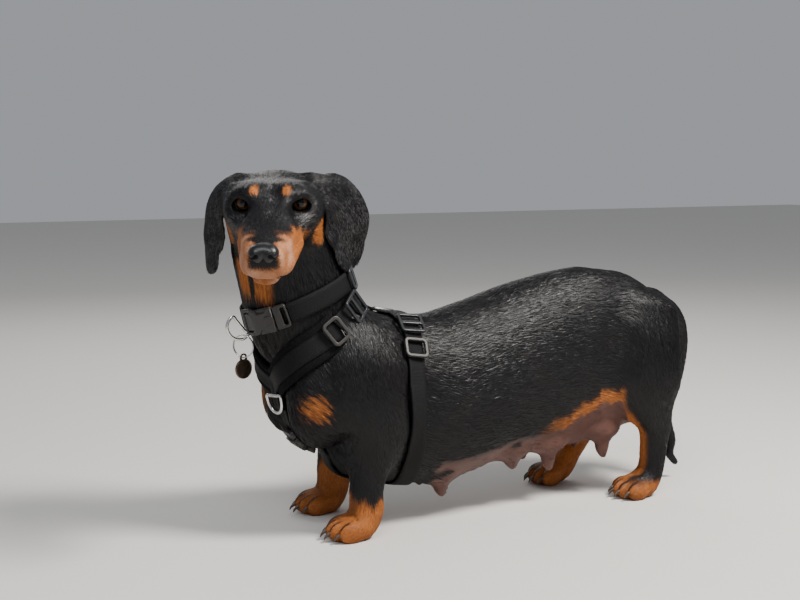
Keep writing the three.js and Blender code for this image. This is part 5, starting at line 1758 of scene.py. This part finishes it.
def fleece_curls(names):
    """Where curls start on the edges of some pads, and the way out there."""
    starts, ways = [], []
    for name in names:
        points, quads, across, height = band_meshes[name]
        edge = (np.abs(across) > 12.5) & (height > 0.1)
        rim = quads[edge[quads].all(1)]
        corners = points[rim]
        cross = np.cross(corners[:, 2] - corners[:, 0], corners[:, 3] - corners[:, 1])
        count = RANDOM.poisson(0.5 * np.linalg.norm(cross, axis=1) * CURLS * TUFT_SHARE)
        face = np.repeat(np.arange(len(rim)), count)
        u, v = RANDOM.random((2, len(face), 1))
        a, b, c, d = (corners[face, k] for k in range(4))
        starts.append((a * (1 - u) + b * u) * (1 - v) + (d * (1 - u) + c * u) * v)
        ways.append(unit(-cross[face]))
    return np.concatenate(starts), np.concatenate(ways)


at, way = fleece_curls(["fleece_stem", "fleece_left", "fleece_right"])
bend = unit(RANDOM.normal(0, 1, at.shape))
length = RANDOM.uniform(1.2, 2.6, (len(at), 1))
side = unit(np.cross(way, bend)) * 0.16
lean = unit(np.cross(side, way))
middle = at + way * length * 0.55 + lean * length * 0.2
tip = middle + unit(way + bend * 0.9) * length * 0.45
rows = [at - way * 0.3 + side, at - way * 0.3 - side, at - way * 0.3 + lean * 0.2,
        middle + side, middle - side, middle + lean * 0.2, tip]
faces = (np.arange(len(at))[:, None, None] * 7 + TUFT_FACES).reshape(-1, 3)
dress(mesh_piece("fleece_curls", np.stack(rows, 1).reshape(-1, 3), faces), "fleece", fleece)


# The stage
# A plain pale floor, soft studio light, and the camera at the photograph's angle. The dog stands on
# the floor by its own weight.
floor_mesh = bpy.data.meshes.new("floor")
floor_mesh.from_pydata([(-6, -6, 0), (6, -6, 0), (6, 6, 0), (-6, 6, 0)], [], [(0, 1, 2, 3)])
floor_mesh.materials.append(
    Material("pale_floor", Base_Color=(0.62, 0.60, 0.57), Roughness=0.85).material)
show("floor", floor_mesh)

world = bpy.data.worlds.new("studio")
bpy.context.scene.world = world
world.use_nodes = True
sky = world.node_tree.nodes["Background"]
sky.inputs["Color"].default_value = (0.80, 0.83, 0.88, 1)
sky.inputs["Strength"].default_value = 0.42


def pose(thing, right, up, back, at):
    """Places a thing that looks along its own -Z, by its three axes and its place in metres."""
    turned = np.array([right, up, back]).T
    thing.matrix_world = Matrix([[*row, place] for row, place in zip(turned, at)] + [[0, 0, 0, 1]])


def softbox(name, at, aim, size, power, colour):
    light = bpy.data.lights.new(name, "AREA")
    light.shape = "RECTANGLE"
    light.size, light.size_y = size
    light.energy = power
    light.color = colour
    lamp = show(name, light)
    z = unit(np.array(at) - np.array(aim))
    x = unit(np.cross([0, 0, 1], z))
    pose(lamp, x, np.cross(z, x), z, at)
    return lamp


softbox("key", (0.55, -0.75, 1.45), (-0.02, 0, 0.15), (0.42, 0.42), 52, (1.0, 0.96, 0.90))
softbox("fill", (-1.15, -1.35, 2.1), (-0.1, 0, 0.2), (1.1, 0.9), 30, (0.93, 0.96, 1.0))
softbox("back", (0.3, 1.5, 1.2), (0, 0, 0.2), (1.6, 0.5), 10, (1.0, 0.97, 0.93))

CAMERA_AT = np.array([-518.7, -1182.8, 381.0])
CAMERA_YAW, CAMERA_PITCH = radians(26), radians(6.6)
level = cos(CAMERA_PITCH)
view_way = np.array([sin(CAMERA_YAW) * level, cos(CAMERA_YAW) * level, -sin(CAMERA_PITCH)])
right_way = np.array([cos(CAMERA_YAW), -sin(CAMERA_YAW), 0])
camera = show("camera", bpy.data.cameras.new("camera"))
pose(camera, right_way, np.cross(right_way, view_way), -view_way, place(CAMERA_AT))
camera.data.lens = 57.6
camera.data.sensor_width = 36
bpy.context.scene.camera = camera
